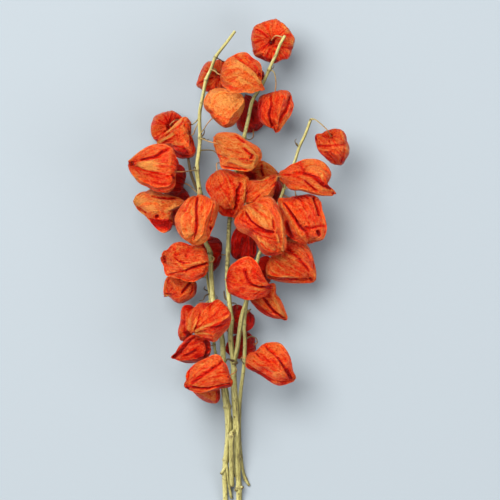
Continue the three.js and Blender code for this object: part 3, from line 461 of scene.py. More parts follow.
        ([(5, 121.5), (9, 118.5), (13.5, 114.5), (17, 111), (16, 106.5), (13, 102.5)], 1.5, 1.3),
        ([(-8, 106.5), (-2, 103.7), (3, 101), (8, 99.5), (12, 99.5)], 1.8, 1.5),
        ([(-18, 118), (-12, 111)], 4.5, 0.4), ([(-20, 128), (-8, 124)], 7, 0.25),
        ([(-5, 116), (4, 112)], 5, 0.2), ([(-4, 130.5), (0, 127.5), (4, 124.5)], 1.1, -1.3),
        ([(5, 117.3), (9, 113.7), (12.7, 111.5), (11.5, 108.5)], 1, -1.2),
        ([(-22, 112), (-20, 110)], 1.3, -0.8), ([(-15, 100), (5, 97.5)], 1.8, -0.5),
        ([(1, 107.4), (7, 107.4)], 0.8, -0.7),
    ]),
    15: dict(light=0.04, outline=[
        (-21, 97.3), (-26, 95), (-30, 91), (-33.5, 86), (-34.5, 80.5), (-33, 75.5), (-30, 70.5), (-27, 64),
        (-24, 59), (-21, 54.5), (-17, 51), (-11, 50), (-6, 49.5), (-3, 47.5), (0, 50), (2, 56), (4, 63),
        (6, 70), (7, 78), (9, 86), (7, 91), (1, 94), (-6, 96), (-14, 97.5),
    ], folds=[
        ([(1, 84), (-1.5, 76), (-1.5, 67), (-3, 61), (-6, 54)], 3.6, 1.6, 2.6),
        ([(-10, 86), (-5, 82), (-3, 74), (-4, 64)], 1.4, 1.5, 3),
        ([(-14, 90), (-11, 84), (-8, 74), (-9, 64)], -1, 2.5, 3),
        ([(-20, 61), (-16, 57), (-8, 57)], 1.6, 1.2, 3), ([(5.5, 82), (4.5, 75), (3.5, 66)], -1.2, 1.2, 2),
        ([(-24, 76), (-16, 84), (-12, 92)], 0.8, 2.5, 2),
    ], tints_and_painted_light=[
        ([(0, 82), (-1.5, 75), (-2, 66), (-4.5, 58)], 1.6, -1), ([(-28, 87), (-18, 87)], 4.5, 0.12),
        ([(5.3, 81), (4.5, 74), (3.5, 68)], 0.8, 1.2), ([(5, 88), (4, 84)], 2.2, 0.6),
        ([(-20, 62), (-16.5, 66), (-13, 69)], 0.8, 0.9), ([(-10, 61.5), (-6, 63.5)], 1.2, 0.5),
        ([(-18, 55), (-8, 53)], 2.6, -0.9), ([(-8, 94), (2, 93)], 2.5, -0.4),
        ([(-33.5, 82), (-31, 73)], 1.6, -0.5),
    ]),
    16: dict(light=0.12, outline=[
        (10, 99), (14, 104.5), (22, 107), (25, 105.7), (30, 103), (34, 99.7), (37.5, 95.8), (40, 93.5),
        (37, 90), (30, 87), (20, 84.5), (12, 84), (4, 85), (-4, 89), (-5, 94), (2, 98),
    ], folds=[
        ([(21.5, 102), (21.5, 96), (23, 92)], 2.2, 2, 1.5), ([(24, 104), (26, 97), (31, 93)], -0.8, 2, 2),
    ], tints_and_painted_light=[
        ([(26, 104), (34, 98)], 2.4, 0.5), ([(29, 99), (33, 95)], 3, 0.3), ([(17.5, 96), (19, 92)], 2, 0.4),
        ([(21.7, 101), (21.5, 96), (23.5, 92)], 1.3, -1.2), ([(8, 95), (13, 90)], 4, -1.6),
    ]),
    17: dict(light=0.06, outline=[
        (9, 86.5), (13, 87), (18, 87.2), (22, 87.5), (26, 90), (31, 92), (37, 92.5), (39.5, 91), (37, 86),
        (35.5, 80), (34.5, 75), (32, 69), (26, 66.5), (18, 63), (11, 61), (6, 62), (5.5, 68), (6.5, 75),
        (7.5, 82),
    ], folds=[
        ([(37, 91), (35, 83), (32.5, 72)], -1.2, 1.5, 3), ([(17, 86.7), (22, 86), (29, 90)], -0.8, 1, 1.5),
        ([(12, 64), (20, 72), (26, 77)], 1, 1.5, 1.5), ([(18, 85), (26, 86.5), (34, 90)], 1.3, 1, 1.5),
    ], tints_and_painted_light=[
        ([(18, 86.8), (22, 86.3), (28, 90)], 0.8, 1.1), ([(24, 82), (30, 76)], 5, 0.35),
        ([(24, 76), (22, 73)], 2.2, 0.5), ([(17, 79), (20, 78)], 2.2, 0.4),
        ([(37.5, 90), (36.5, 87)], 1.2, 0.7), ([(36, 84), (34.5, 74)], 1.6, -1),
        ([(6, 76), (6, 64)], 1.6, -1.4), ([(13, 65), (19, 71)], 0.8, -0.6),
    ]),
    18: dict(light=0.07, outline=[
        (39, 94), (44, 97), (50, 102), (55, 103.7), (60, 106.5), (66, 108.2), (73, 108.2), (79, 107),
        (84.5, 104), (88.5, 99.5), (91, 94.5), (90.3, 89), (87.5, 83), (90, 79.5), (96, 75.5), (94.5, 72),
        (90, 71), (84, 71), (77, 71.7), (71, 73), (65, 75), (60, 76.3), (54, 76.3), (49, 77.7), (46, 81),
        (43, 84), (39, 87),
    ], folds=[
        ([(56, 95), (64, 93.5), (72, 91.5), (78, 88.5), (82, 84.5), (85, 81)], 3.2, 1.2, 4),
        ([(64, 86), (70, 81.5), (76, 76)], 2.2, 1.5, 1.5),
        ([(74, 88), (80, 82.5), (87, 78)], 1.6, 1.2, 1.5),
        ([(60, 89.5), (68, 87), (75, 82), (82, 75.5)], -1, 1.6, 1.6),
        ([(85, 81.3), (90, 78.3)], 3.5, 1.6, 1.6), ([(44, 92), (56, 90), (66, 87)], 0.8, 2, 2),
        ([(60, 106), (62, 98), (64, 95)], 0.8, 2, 2),
    ], tints_and_painted_light=[
        ([(70, 103), (80, 100)], 6, 0.4), ([(81.5, 93), (82, 88)], 1.4, 0.7),
        ([(60, 95), (70, 92.3), (78, 88.8), (83, 83.5)], 1.3, -0.8),
        ([(65, 85.2), (70, 81), (74, 77.5)], 0.9, -1.2), ([(76, 86.5), (84, 79.5)], 0.8, -0.8),
        ([(85.5, 81), (89.5, 78.3)], 1, -3.5), ([(76, 81), (84, 77.5), (91, 76)], 1.2, 0.7),
        ([(56, 79), (68, 77)], 1.8, 0.5), ([(76, 73.5), (90, 72)], 1, 0.5),
        ([(92, 73.7), (93, 73.7)], 1.1, -0.9), ([(48, 92), (58, 89)], 4, -0.2),
        ([(52, 77), (60, 76.6)], 0.8, -1),
    ]),
    19: dict(outline=[
        (37.5, 68), (42, 69), (46, 68.7), (50, 70), (56, 71.5), (62, 72), (67, 73), (73, 72.3), (77.5, 70),
        (80.5, 66), (81.7, 61), (82.5, 56.5), (84.5, 52), (86, 46), (87.2, 39), (85.7, 32), (83, 27.5),
        (78, 26), (72, 24), (68, 21.8), (62, 23), (56, 25.5), (50, 28.5), (46.3, 32), (45.5, 38),
        (43.5, 45), (41, 52), (38.5, 60),
    ], folds=[
        ([(44, 64), (50, 56), (55, 49), (59, 42.5), (62, 38.5), (66, 35.5)], 4, 1.3, 3.2),
        ([(73.5, 70), (75, 64), (77.5, 58), (79, 51.5)], 3, 1.5, 1.5),
        ([(46, 44), (48, 37), (51, 31)], 3, 3, 2),
        ([(65, 39.5), (72, 38.5), (80, 41), (86, 41)], 1.6, 2, 1.5),
        ([(78, 35.5), (79, 32.5)], 3, 2.2, 2.2), ([(42, 62), (50, 48), (58, 34), (67, 26)], -1, 2.5, 2.5),
        ([(54, 70), (64, 66), (72, 62)], 1, 2, 2),
    ], tints_and_painted_light=[
        ([(42, 62), (47, 52), (53, 42), (60, 32), (66, 27)], 2.2, 0.3),
        ([(46, 43), (48, 36), (52, 30)], 2.4, -1.3),
        ([(44.5, 63), (50, 55.5), (55, 48.5), (59, 42), (62.5, 38)], 1.3, -1.3),
        ([(73.7, 69), (75, 64), (77.5, 58), (79, 52)], 0.9, -1.5),
        ([(81.5, 55), (83, 48), (85, 43)], 1.4, 0.7), ([(78, 35.5), (78.8, 32.5)], 1.5, -2.6),
        ([(55, 70), (70, 71)], 2, -0.9), ([(60, 60), (70, 52)], 7, 0.08),
        ([(70, 27.5), (78, 29)], 1.8, 0.5), ([(83, 36), (83, 30)], 1.6, 0.5),
        ([(66, 40), (73, 39)], 1.6, -0.5),
    ]),
    20: dict(light=0, outline=[
        (4, 61.5), (9, 63), (15, 65), (22, 69), (29, 70.5), (33, 68), (37, 62), (41, 53), (44, 43),
        (46, 32), (46.3, 23), (44.5, 15.5), (40, 12.5), (34, 11.5), (29, 11), (24, 13), (20, 17.5),
        (16, 24.5), (9, 31), (2, 34), (-3, 38), (-6, 45), (-3, 51), (0.5, 56.5),
    ], folds=[
        ([(5, 56), (11, 46.5), (18, 41), (25, 37), (34, 35.5)], 3, 1, 4),
        ([(33, 47), (33.7, 38)], 2.2, 1.5, 1.5),
        ([(17, 63), (26, 59), (32, 50), (35, 38), (39, 20)], -1.2, 2, 3),
        ([(0, 48), (10, 42), (20, 36), (33, 32.5)], 1, 1.2, 1.2),
        ([(3, 41), (12, 37), (22, 31), (35, 27)], 1, 1.2, 1.2),
        ([(13, 33), (20, 27), (30, 22)], -1.2, 2, 2),
        ([(36, 66), (41, 48), (43, 30), (42, 17)], -0.7, 2.5, 2),
        ([(12, 60), (20, 54), (30, 47)], 0.7, 2, 2),
    ], tints_and_painted_light=[
        ([(9, 57), (17, 51), (27, 43)], 4.5, 0.75), ([(20, 61), (24, 55), (30, 49)], 2.5, 0.7),
        ([(40, 46), (42, 36), (43, 25), (42, 17)], 2.6, 0.65), ([(38, 30), (38, 20)], 2, 0.3),
        ([(15, 31), (22, 25), (28, 20.5), (34, 18)], 1.8, 0.6), ([(4, 46), (14, 38), (30, 33)], 3.2, -0.6),
        ([(6, 54), (11.5, 46), (18, 40.5), (25, 36.5), (33, 35)], 1.1, -1),
        ([(32.8, 46.5), (33.5, 39)], 0.8, -1.2), ([(-4, 46), (-1, 42)], 3, -0.4),
        ([(22, 16), (28, 12.5), (36, 13)], 2, -0.6),
    ]),
    21: dict(light=0.07, outline=[
        (26, -4), (26.8, 3), (30, 9), (34, 15), (38, 21), (42, 28), (49, 31), (58, 29.5), (64, 26),
        (68.8, 20.5), (72, 14), (74.5, 5), (76.3, -3), (76.5, -11), (73.5, -15), (65, -16.3), (50, -16.3),
        (40, -15), (32, -13), (27, -11),
    ], folds=[
        ([(27, -9.5), (40, -11.5), (55, -12.3), (67, -12)], 2, 1, 2),
        ([(49, 18), (58, 10), (64, 3), (69, -3)], 1.8, 1.5, 3),
        ([(38, 11), (46, 5), (54, -2), (62, -6)], -0.8, 1.2, 1.2),
        ([(33, 6), (39, 1), (46, -5), (58, -9)], -0.8, 1.2, 1.2),
        ([(29, -2), (36, -6), (46, -9.5), (60, -10)], -0.7, 1, 1),
        ([(46, 13), (53, 7), (60, 1)], -0.7, 1.5, 1.5), ([(70, -11.5), (72, -13)], 2.5, 1.5, 1.5),
        ([(74, 6), (74.5, -6)], 1, 1, 1.5),
    ], tints_and_painted_light=[
        ([(40, 9), (46, 5), (50, 1.5), (54, -1)], 0.6, 0.6), ([(46, 11.5), (52, 7.5), (57, 3)], 1.8, 0.2),
        ([(37.5, 3.5), (40, -0.5), (45, -3.5)], 0.6, 0.6), ([(36, 14), (44, 16), (50, 17)], 4, -0.4),
        ([(31, -3), (37, -6), (43, -9.3), (52, -10.5)], 0.6, 0.8),
        ([(28, -10.5), (40, -12), (55, -12.6), (66, -12.3)], 1.1, -1.1), ([(58, 2), (66, -3)], 3.6, -0.4),
        ([(50, 16), (60, 8), (68, -1)], 1, -0.7), ([(48, 20), (60, 22)], 4, -0.6),
        ([(74.3, -3), (74.7, -9)], 0.8, 0.9), ([(66, -7), (64, -10)], 2.5, 0.3),
        ([(70.3, -12), (71.7, -13)], 0.9, -2.2),
    ]),
    22: dict(collapse=0.4, crumple=0.6, light=-0.1, outline=[
        (4, 10.3), (-1, 8.3), (-5.5, 4.8), (-10, 0.8), (-12.7, -6), (-14, -14), (-13.5, -19.5), (-11, -26),
        (-6, -28.5), (0, -31), (6, -32.8), (12, -32.8), (18, -31), (24, -29.5), (29, -26), (33.5, -20),
        (29, -17), (26, -13.5), (24, -9.5), (21, -3), (18, 3), (14, 7.5), (9, 10.5),
    ], folds=[
        ([(5, -2), (7, -10), (10, -15), (14, -18.2), (20, -19.8), (30, -19.5)], 3, 1.2, 3.5),
        ([(-6, -6), (-1, -15), (7, -20), (18, -22), (29, -20.5)], -0.8, 2, 2.5),
        ([(14, -28), (20, -24), (30, -20.5)], 1, 1.2, 1.2), ([(31, -20), (32.5, -20)], 2.5, 2.2, 2.2),
        ([(18, 0), (22, -10), (28, -17)], -0.5, 2, 2),
    ], tints_and_painted_light=[
        ([(6, -5), (7.5, -10.5), (10.5, -15.2), (14.5, -18.3), (20, -19.9), (27, -19.5)], 0.9, -1.2),
        ([(28, -19.7), (32.5, -19.7)], 1.2, -2.8), ([(-4, -12), (1, -9)], 3, 0.25),
        ([(19, -18), (26, -15.5)], 1.2, 0.7), ([(16, -22.5), (26, -23)], 2.2, 0.45),
        ([(13, -19.5), (19, -22)], 1, 0.5), ([(-12, -4), (-12, -22)], 2, -0.5),
        ([(-8, -27), (6, -31.5)], 1.6, -0.4), ([(20, -27), (26, -23.5)], 0.9, -0.6),
    ]),
    23: dict(light=0.03, outline=[
        (34, -16), (36, -20), (36, -26), (39, -30), (42, -35), (44.5, -41), (46.5, -46.5), (48, -51),
        (46, -54.5), (43, -52.3), (38, -52), (33, -51.3), (26, -48.7), (20, -45), (15, -40), (10, -33.5),
        (12, -28), (18, -23), (26, -18),
    ], folds=[
        ([(24, -31), (29, -38), (35, -45), (44, -51)], 3.4, 1.4, 3),
        ([(33, -22), (35, -34), (41, -45)], -0.7, 2, 2),
        ([(14, -36), (24, -42), (36, -49)], -0.6, 1.5, 1.5),
    ], tints_and_painted_light=[
        ([(34, -32), (39, -40), (44, -48)], 3.2, 0.85),
        ([(26, -34), (30, -39.5), (36, -46), (43, -50.5)], 1.1, -1.4),
        ([(14, -37), (22, -43), (32, -49)], 2.6, -0.6), ([(21, -37), (30, -45)], 0.8, 0.4),
        ([(44.5, -52.3), (45.5, -53)], 1, -1.5), ([(30, -24), (30, -29)], 2.4, -0.3),
        ([(16, -30), (26, -30)], 3, -0.6),
    ]),
    24: dict(outline=[
        (-50, 22), (-45, 21.8), (-40, 21.7), (-36, 19), (-33, 14.5), (-31, 8), (-31, 2), (-31.7, -3.5),
        (-33.5, -7.3), (-37.5, -10.3), (-42, -13.5), (-46, -15), (-53, -14.5), (-61, -12), (-68, -10.3),
        (-73.3, -9), (-75.3, -5), (-76.5, 1), (-79.3, 6.5), (-79, 12), (-77, 15.7), (-74, 16.3),
        (-71.7, 18.5), (-69, 21.7), (-65.5, 24), (-60.5, 25), (-55, 24),
    ], folds=[
        ([(-54, -3), (-48, -0.7), (-41, 1.5), (-33, 4)], 2.6, 1, 3),
        ([(-67, 10.5), (-62, 6.3), (-56, 4.3), (-50, 4)], 1.8, 1.5, 1),
        ([(-69, 13), (-64, 7), (-58.5, 1), (-54, -2.5)], -1.2, 1.8, 1.8),
        ([(-72, -8), (-64, -6), (-56, -4)], 1.2, 1.5, 1.5), ([(-76, 10), (-75, 6)], 2, 2.2, 2.2),
        ([(-55, 2.5), (-46, 3.5), (-38, 6)], -0.8, 1.5, 1.5),
        ([(-68, 21), (-58, 20), (-44, 20)], -0.4, 2, 2),
    ], tints_and_painted_light=[
        ([(-53.5, -3.2), (-48, -1), (-41, 1.2), (-35, 3.3)], 0.9, -1.3),
        ([(-66, 9.5), (-60.5, 5), (-54, 4)], 0.8, -0.9),
        ([(-66, 8.5), (-62, 5), (-58, 1), (-54, -1.5)], 1.1, 0.6),
        ([(-54, 2.5), (-48, 3), (-40, 5)], 1.2, 0.6), ([(-75.7, 9), (-75, 5.5)], 1.7, -0.9),
        ([(-71.5, 11), (-71, 4)], 1.8, 0.6), ([(-68, 2), (-64, -3)], 3, 0.3),
        ([(-67, 14), (-60.5, 19)], 0.9, 0.6), ([(-36, 8), (-34.5, 5)], 1.6, 0.4),
        ([(-48, -10), (-38, -8)], 3, -0.4), ([(-58, 24), (-50, 22)], 2, -0.4),
        ([(-56, 15), (-44, 11)], 5, -0.08),
    ]),
    25: dict(light=0.02, outline=[
        (-70, -9), (-74, -11), (-76, -15), (-77, -21), (-77, -27), (-76, -31), (-72.5, -29.3), (-70, -31),
        (-66, -34.5), (-61, -36.7), (-57, -36.3), (-52, -33.7), (-46.5, -30), (-44, -26), (-43.3, -20),
        (-44.3, -15.5), (-50, -12), (-60, -8),
    ], folds=[
        ([(-49, -14), (-54, -20), (-58.5, -25.3)], 3.2, 2.2, 1),
        ([(-47.5, -18), (-48, -24), (-50, -28)], 1, 1.2, 1.2),
        ([(-72, -12), (-74, -20), (-73, -27)], 0.8, 1.5, 1.5), ([(-74, -27.6), (-70, -27.6)], 1, 1, 1),
    ], tints_and_painted_light=[
        ([(-50, -15.5), (-54, -20.3), (-58, -24.8)], 1.1, -2.2), ([(-75, -28.4), (-70.5, -28.7)], 0.8, 1.7),
        ([(-74, -27.3), (-71, -27.3)], 0.7, -1), ([(-76, -14), (-76, -24)], 1.1, 0.5),
        ([(-66, -16), (-62, -22)], 4, 0.12), ([(-48, -20), (-49, -26)], 1.4, -0.6),
        ([(-74, -22), (-73.5, -18)], 1.6, 0.35), ([(-60, -33), (-52, -31)], 2.5, 0.12),
        ([(-44.5, -20), (-45, -26)], 1, -0.9), ([(-72, -13), (-72, -16)], 1, -0.5),
    ]),
    27: dict(light=-0.01, crumple=0.5, collapse=0.3, outline=[
        (-22.5, -31.8), (-17, -35.3), (-12.5, -40), (-9.3, -45.5), (-8.7, -51), (-9.7, -57), (-11.5, -61),
        (-15, -65), (-19.5, -69.5), (-24, -74.5), (-29, -74), (-35, -71.5), (-41, -68.5), (-46, -66),
        (-50, -65.5), (-52.8, -62), (-53.3, -56), (-52, -49.5), (-49, -43.5), (-45, -40), (-41, -36),
        (-35, -35.7), (-28, -35),
    ], folds=[
        ([(-46, -65), (-43.5, -59), (-41.5, -52), (-40, -46)], 1.6, 1.2, 1.8),
        ([(-45, -64), (-36, -59.5), (-26, -56), (-12, -49)], -1.4, 3, 1.6),
        ([(-45, -66), (-36, -65.5), (-26, -67), (-18, -69)], -0.8, 1.5, 2),
        ([(-44, -63), (-36, -55), (-26, -48)], 0.8, 1.2, 1.2),
        ([(-52, -62), (-49, -52), (-46, -43)], -0.6, 2, 2),
        ([(-34, -60), (-22, -59.5), (-11, -56)], 1, 1.5, 3),
    ], tints_and_painted_light=[
        ([(-50.5, -52), (-50, -61)], 2.2, 0.8), ([(-43.5, -53), (-46, -62)], 1.8, 0.85),
        ([(-45, -64), (-36, -60), (-28, -57.3)], 1.5, 0.9),
        ([(-43, -65.6), (-37, -66.3), (-32, -66.5)], 1.1, 0.8), ([(-45.7, -64), (-43.3, -58.5)], 0.8, -1.1),
        ([(-44, -61), (-36, -54.5)], 0.7, -0.6), ([(-28, -59.5), (-20, -57), (-11, -52.5)], 1.6, -0.8),
        ([(-28, -62), (-13, -59)], 2.6, -0.4), ([(-34, -46), (-28, -44)], 3.5, 0.25),
        ([(-38, -38.5), (-24, -35)], 2.2, -0.5), ([(-14, -42), (-12, -46)], 2.4, -0.4),
        ([(-36, -71), (-28, -73.5)], 1, -1.2), ([(-40, -58), (-32, -54)], 2, 0.35),
    ]),
    28: dict(light=0.26, outline=[
        (-47, -40), (-52, -38), (-57, -39.2), (-59.3, -44), (-59.7, -50), (-60.3, -56), (-62, -63),
        (-62, -69), (-60, -74), (-55, -75), (-49, -70), (-45, -60), (-44, -48),
    ], folds=[
        ([(-56, -42), (-56, -55), (-56, -66)], 1, 2, 2), ([(-59, -50), (-59.5, -66)], -0.5, 1.5, 1.5),
    ], tints_and_painted_light=[
        ([(-60.5, -62), (-59.5, -67)], 2, 0.4), ([(-58, -68), (-58, -72)], 1.6, 0.6),
        ([(-54, -40), (-49, -41)], 2.6, -1), ([(-52.5, -66), (-52, -68)], 2, -3),
    ]),
    29: dict(collapse=0.5, light=-0.14, outline=[
        (-71, -90.3), (-66.5, -88.7), (-64, -84), (-61, -79), (-57, -75), (-53, -71), (-48, -68),
        (-41, -68), (-34, -71), (-30, -75), (-29, -80), (-29.5, -86), (-33, -91), (-39, -95), (-46, -96.3),
        (-53, -96.5), (-60, -94.7), (-66, -92),
    ], folds=[
        ([(-67, -90), (-61, -84.7), (-56, -78.7), (-50, -72), (-46, -69)], 3.4, 1, 3),
        ([(-56, -88), (-51, -86.5), (-44, -82.5)], 1.6, 1.3, 2.5),
        ([(-34.5, -74), (-32.5, -82), (-35, -90)], 2, 2, 1.5),
        ([(-62, -90.5), (-50, -91), (-38, -92)], -0.6, 1.5, 1.5),
        ([(-55, -86), (-48, -80), (-40, -77)], -1, 2, 2),
    ], tints_and_painted_light=[
        ([(-66, -88), (-62, -81), (-56.5, -75), (-49, -69.5)], 1.3, 0.45),
        ([(-65, -89), (-60, -84), (-55.5, -78.5), (-50, -72.3)], 1.6, -1.5),
        ([(-53, -87.5), (-50, -86), (-45, -83)], 1, -1.4), ([(-53, -84), (-47, -79)], 2.6, 0.15),
        ([(-34, -75), (-32.5, -82), (-34, -89)], 1.6, -1.1), ([(-35, -75), (-33.5, -75)], 1.2, -3),
        ([(-44, -89), (-36, -91)], 2.5, -0.6), ([(-61, -92), (-52, -94)], 1.1, 0.4),
    ]),
    30: dict(crumple=0.5, collapse=0.3, light=-0.03, outline=[
        (-24, -87), (-20, -88.5), (-17, -93), (-13, -98), (-11, -104), (-9, -109.5), (-7, -115),
        (-8.5, -118.7), (-13, -119.7), (-20, -121.7), (-28, -124), (-36, -125.5), (-44, -125),
        (-49.5, -123.3), (-54, -120.7), (-56.5, -117.5), (-54.3, -115), (-54.7, -110.5), (-54, -106),
        (-51, -101.5), (-46, -97), (-40, -93.7), (-34, -91), (-29, -88.3),
    ], folds=[
        ([(-19, -94), (-28, -100.5), (-36, -105.5), (-42, -110), (-48, -115), (-55, -118.7)], 3.6, 4, 1.0),
        ([(-49, -119), (-40, -120.7), (-30, -120.3), (-20, -118), (-8, -115.5)], 2.4, 1.2, 1.6),
        ([(-47, -96.5), (-51, -103), (-52, -112)], 1, 1.2, 1.5),
        ([(-16, -101), (-30, -109), (-46, -116.5)], -0.6, 1.5, 1.5),
        ([(-12, -108), (-28, -113), (-46, -117.5)], -0.7, 1.5, 1.5),
        ([(-50, -121), (-40, -123), (-30, -122.5)], -0.6, 1, 1),
    ], tints_and_painted_light=[
        ([(-30, -92.5), (-40, -99.5), (-48, -107), (-51, -113)], 2.2, 0.3),
        ([(-27, -99.7), (-36, -105.2), (-42, -109.7), (-48, -114.7)], 1.1, -1.1),
        ([(-34, -112.5), (-28, -113)], 1.6, 0.3), ([(-44, -117), (-38, -119)], 1, 0.5),
        ([(-46, -119.5), (-38, -120.9), (-30, -120.5)], 1, -0.9), ([(-22, -120), (-10, -117.7)], 1.4, -1.4),
        ([(-54, -119), (-51, -122)], 1, -1.6), ([(-12.2, -109.2), (-11.7, -109.4)], 0.7, -2),
        ([(-51, -104), (-48, -100)], 1.6, -0.4), ([(-20, -92), (-16, -97)], 3, -0.1),
    ]),
    31: dict(light=0.36, outline=[
        (-50, -119), (-48, -124), (-45, -128), (-40, -132.5), (-34, -135.7), (-28, -137), (-23.5, -136.7),
        (-20.3, -133), (-20, -126), (-22, -119), (-30, -114), (-42, -114),
    ], folds=[
        ([(-44, -125), (-36, -128), (-26, -135)], -0.6, 2, 2),
        ([(-24, -122), (-23, -130), (-24, -136)], 1.2, 1.5, 1.5),
    ], tints_and_painted_light=[
        ([(-28, -126), (-25, -128)], 3, 0.5), ([(-30, -131), (-26, -133)], 1.8, 0.6),
        ([(-36, -127), (-33, -130)], 2.6, 0.3), ([(-21.5, -125), (-21.3, -134)], 1.6, -1.4),
        ([(-44, -123.5), (-24, -122)], 2, -0.9), ([(-31, -133.5), (-28, -135.5)], 0.9, -0.7),
    ]),
    32: dict(crumple=0.5, collapse=0.3, light=-0.02, outline=[
        (14, -85.3), (18, -82), (21, -78.3), (25.5, -75.7), (31, -75), (37, -75), (41.5, -77), (45, -81),
        (48.3, -86), (50.5, -91), (52, -97), (53.2, -104), (55.5, -108), (56, -111), (54, -114), (50, -116),
        (46, -117.7), (41, -118.7), (35, -117.3), (28, -113.3), (20, -108), (12, -104), (6, -100.3),
        (5, -95), (7, -89), (10, -86.3),
    ], folds=[
        ([(24, -78), (32, -85), (38, -91), (44, -100), (48.5, -107.5), (53, -112.5)], 4.5, 2.6, 1.0),
        ([(7, -97), (15, -102.7), (25, -108.7), (33, -113.3), (42, -115), (52, -114.3)], 2.2, 1, 1.6),
        ([(16, -86), (22, -93), (28, -98)], 0.8, 1.2, 1.2),
        ([(11, -91), (20, -99), (32, -106)], 0.8, 1.5, 1.5),
        ([(20, -82), (32, -95), (44, -110)], -0.8, 2, 2), ([(48, -104), (51, -111)], 2.4, 2, 2),
        ([(36, -77), (46, -90), (52, -106)], -0.6, 2, 2),
    ], tints_and_painted_light=[
        ([(37.5, -90.5), (41, -95), (45, -101)], 0.8, -1.8),
        ([(46.5, -103), (48.5, -107), (50.5, -110.5)], 1.7, -3),
        ([(8, -99.5), (20, -107.5), (30, -113.3)], 1.2, -1.6), ([(38, -116.8), (46, -116.5)], 1.2, -0.6),
        ([(24, -89), (30, -95)], 0.8, -0.4), ([(16.5, -86.5), (21, -92)], 0.8, -0.6),
        ([(36, -107), (44, -107)], 3, 0.35), ([(38, -79), (44, -84)], 3, 0.15),
        ([(20, -79), (25, -76.3)], 1, -0.6), ([(28, -94), (36, -94)], 2.5, -0.25),
        ([(12, -94), (14, -92)], 2, 0.1),
    ]),
    35: dict(light=0.04, outline=[
        (75, 131), (77, 133), (82, 133.7), (85, 136), (90, 137.5), (93, 138.6), (100, 138), (103.7, 135.7),
        (106, 131.5), (107, 127), (109.3, 122), (109.8, 117), (108.5, 111.5), (105.3, 106.5),
        (103.3, 102.5), (99, 102), (93, 103.3), (88, 106.7), (82, 112), (78, 117), (76, 123), (75, 127.5),
    ], folds=[
        ([(79, 121.5), (88, 121.3), (95, 122), (103, 122.5)], 1.6, 1.5, 3),
        ([(91.5, 132), (91.7, 129.5)], 2.5, 2.5, 2.5), ([(84, 134), (87, 130), (91, 129.5)], 1, 1.2, 1.2),
        ([(93, 130), (97, 127), (104, 125)], -0.8, 1.5, 2),
        ([(101, 136), (103, 128), (107, 121)], -0.8, 2, 2),
        ([(80, 118), (90, 116), (100, 110)], -0.5, 2, 2),
        ([(105, 120), (104, 112), (101, 104)], 1, 1.2, 1.2), ([(78, 131), (82, 126)], 1, 1.5, 1.5),
    ], tints_and_painted_light=[
        ([(91.3, 132), (91.6, 129.7)], 0.8, -2.2), ([(93.5, 130.3), (95, 130.3)], 0.8, -1.2),
        ([(83, 131), (86, 129.3)], 0.9, -1), ([(80, 130), (80, 127.5)], 1.7, 0.4),
        ([(101, 133), (102, 129)], 2, 0.35), ([(107.5, 121), (108, 116)], 1.5, 0.7),
        ([(83, 123.3), (93, 124)], 1.5, 0.2), ([(75.7, 131), (76, 127)], 0.9, -2.2),
        ([(79, 115.5), (84, 110.5), (90, 105.5)], 1.2, -1), ([(86, 119), (96, 108)], 4.5, -0.35),
        ([(82, 117), (87, 116.7)], 0.7, 0.8), ([(101.5, 106), (103, 104)], 1.3, -1.2),
    ]),
    36: dict(light=-0.12, outline=[
        (-3.5, 39), (-7, 34), (-9, 28), (-9.3, 20), (-8.6, 12), (-4, 7.5), (2, 7.5), (8, 6.5), (13.5, 7.5),
        (16.5, 14), (16.5, 26), (12, 34), (5, 39),
    ], folds=[
        ([(3.4, 28), (1, 18.8), (-1.4, 9.2)], 3.5, 1.5, 2.5), ([(14.8, 30), (14.2, 14)], 2, 1.5, 1.5),
        ([(-2, 34), (-5, 24), (-6, 12)], -0.9, 1.5, 1.5), ([(8, 32), (9, 20), (8, 8)], -1, 2, 2),
    ], tints_and_painted_light=[
        ([(8, 32), (9, 12)], 4.5, 0.3), ([(3.4, 26), (1, 18.8), (-1.4, 9.2)], 1.3, -1),
        ([(-3, 31), (-5, 24)], 1.5, 0.25),
    ]),
    37: dict(outline=[
        (44.5, 86), (44.5, 80), (42, 73), (39.5, 67), (35, 63.5), (29, 66), (25.5, 72), (24, 80), (27, 87),
        (33, 91), (40, 89.5),
    ]),
    38: dict(outline=[
        (6, -3), (10, 1), (16, 5.5), (22, 10), (28, 11), (31, 6), (31, -3), (31, -12), (29, -18), (24, -21),
        (18, -22), (10, -18), (6, -11),
    ]),
}

# How golden a husk is, by the kind that it belongs to. The deep husks lie at the back under the others, and
# are set dark partly for their own deep red and partly as painted shade.
TONE_SHIFT = {"orange": 0.03, "red": -0.02, "deep": -0.42}


# ---------------------------------------------------------------- small helpers

def smooth_step(low, high, value):
    """0 up to low and 1 from high on, with a smooth rise between them."""
    share = np.clip((value - low) / (high - low), 0, 1)
    return share * share * (3 - 2 * share)


def bell(distance, reach):
    return np.exp(-((distance / reach) ** 2))


def unit(vectors):
    return vectors / np.maximum(np.linalg.norm(vectors, axis=-1, keepdims=True), 1e-9)


def spline(points, count):
    """Evenly spaced points on a Catmull-Rom curve through the given ones."""
    points = np.asarray(points, float)
    padded = np.vstack([2 * points[0] - points[1], points, 2 * points[-1] - points[-2]])
    fine = []
    for a, b, c, d in zip(padded, padded[1:], padded[2:], padded[3:]):
        t = np.linspace(0, 1, SPLINE_STEPS, endpoint=False)[:, None]
        fine.append(0.5 * (2 * b + (c - a) * t + (2 * a - 5 * b + 4 * c - d) * t**2
                           + (3 * b - a - 3 * c + d) * t**3))
    fine = np.vstack(fine + [points[-1:]])
    lengths = np.concatenate([[0], np.cumsum(np.linalg.norm(np.diff(fine, axis=0), axis=1))])
    places = np.linspace(0, lengths[-1], count)
    return np.stack([np.interp(places, lengths, fine[:, k]) for k in range(points.shape[1])], 1)


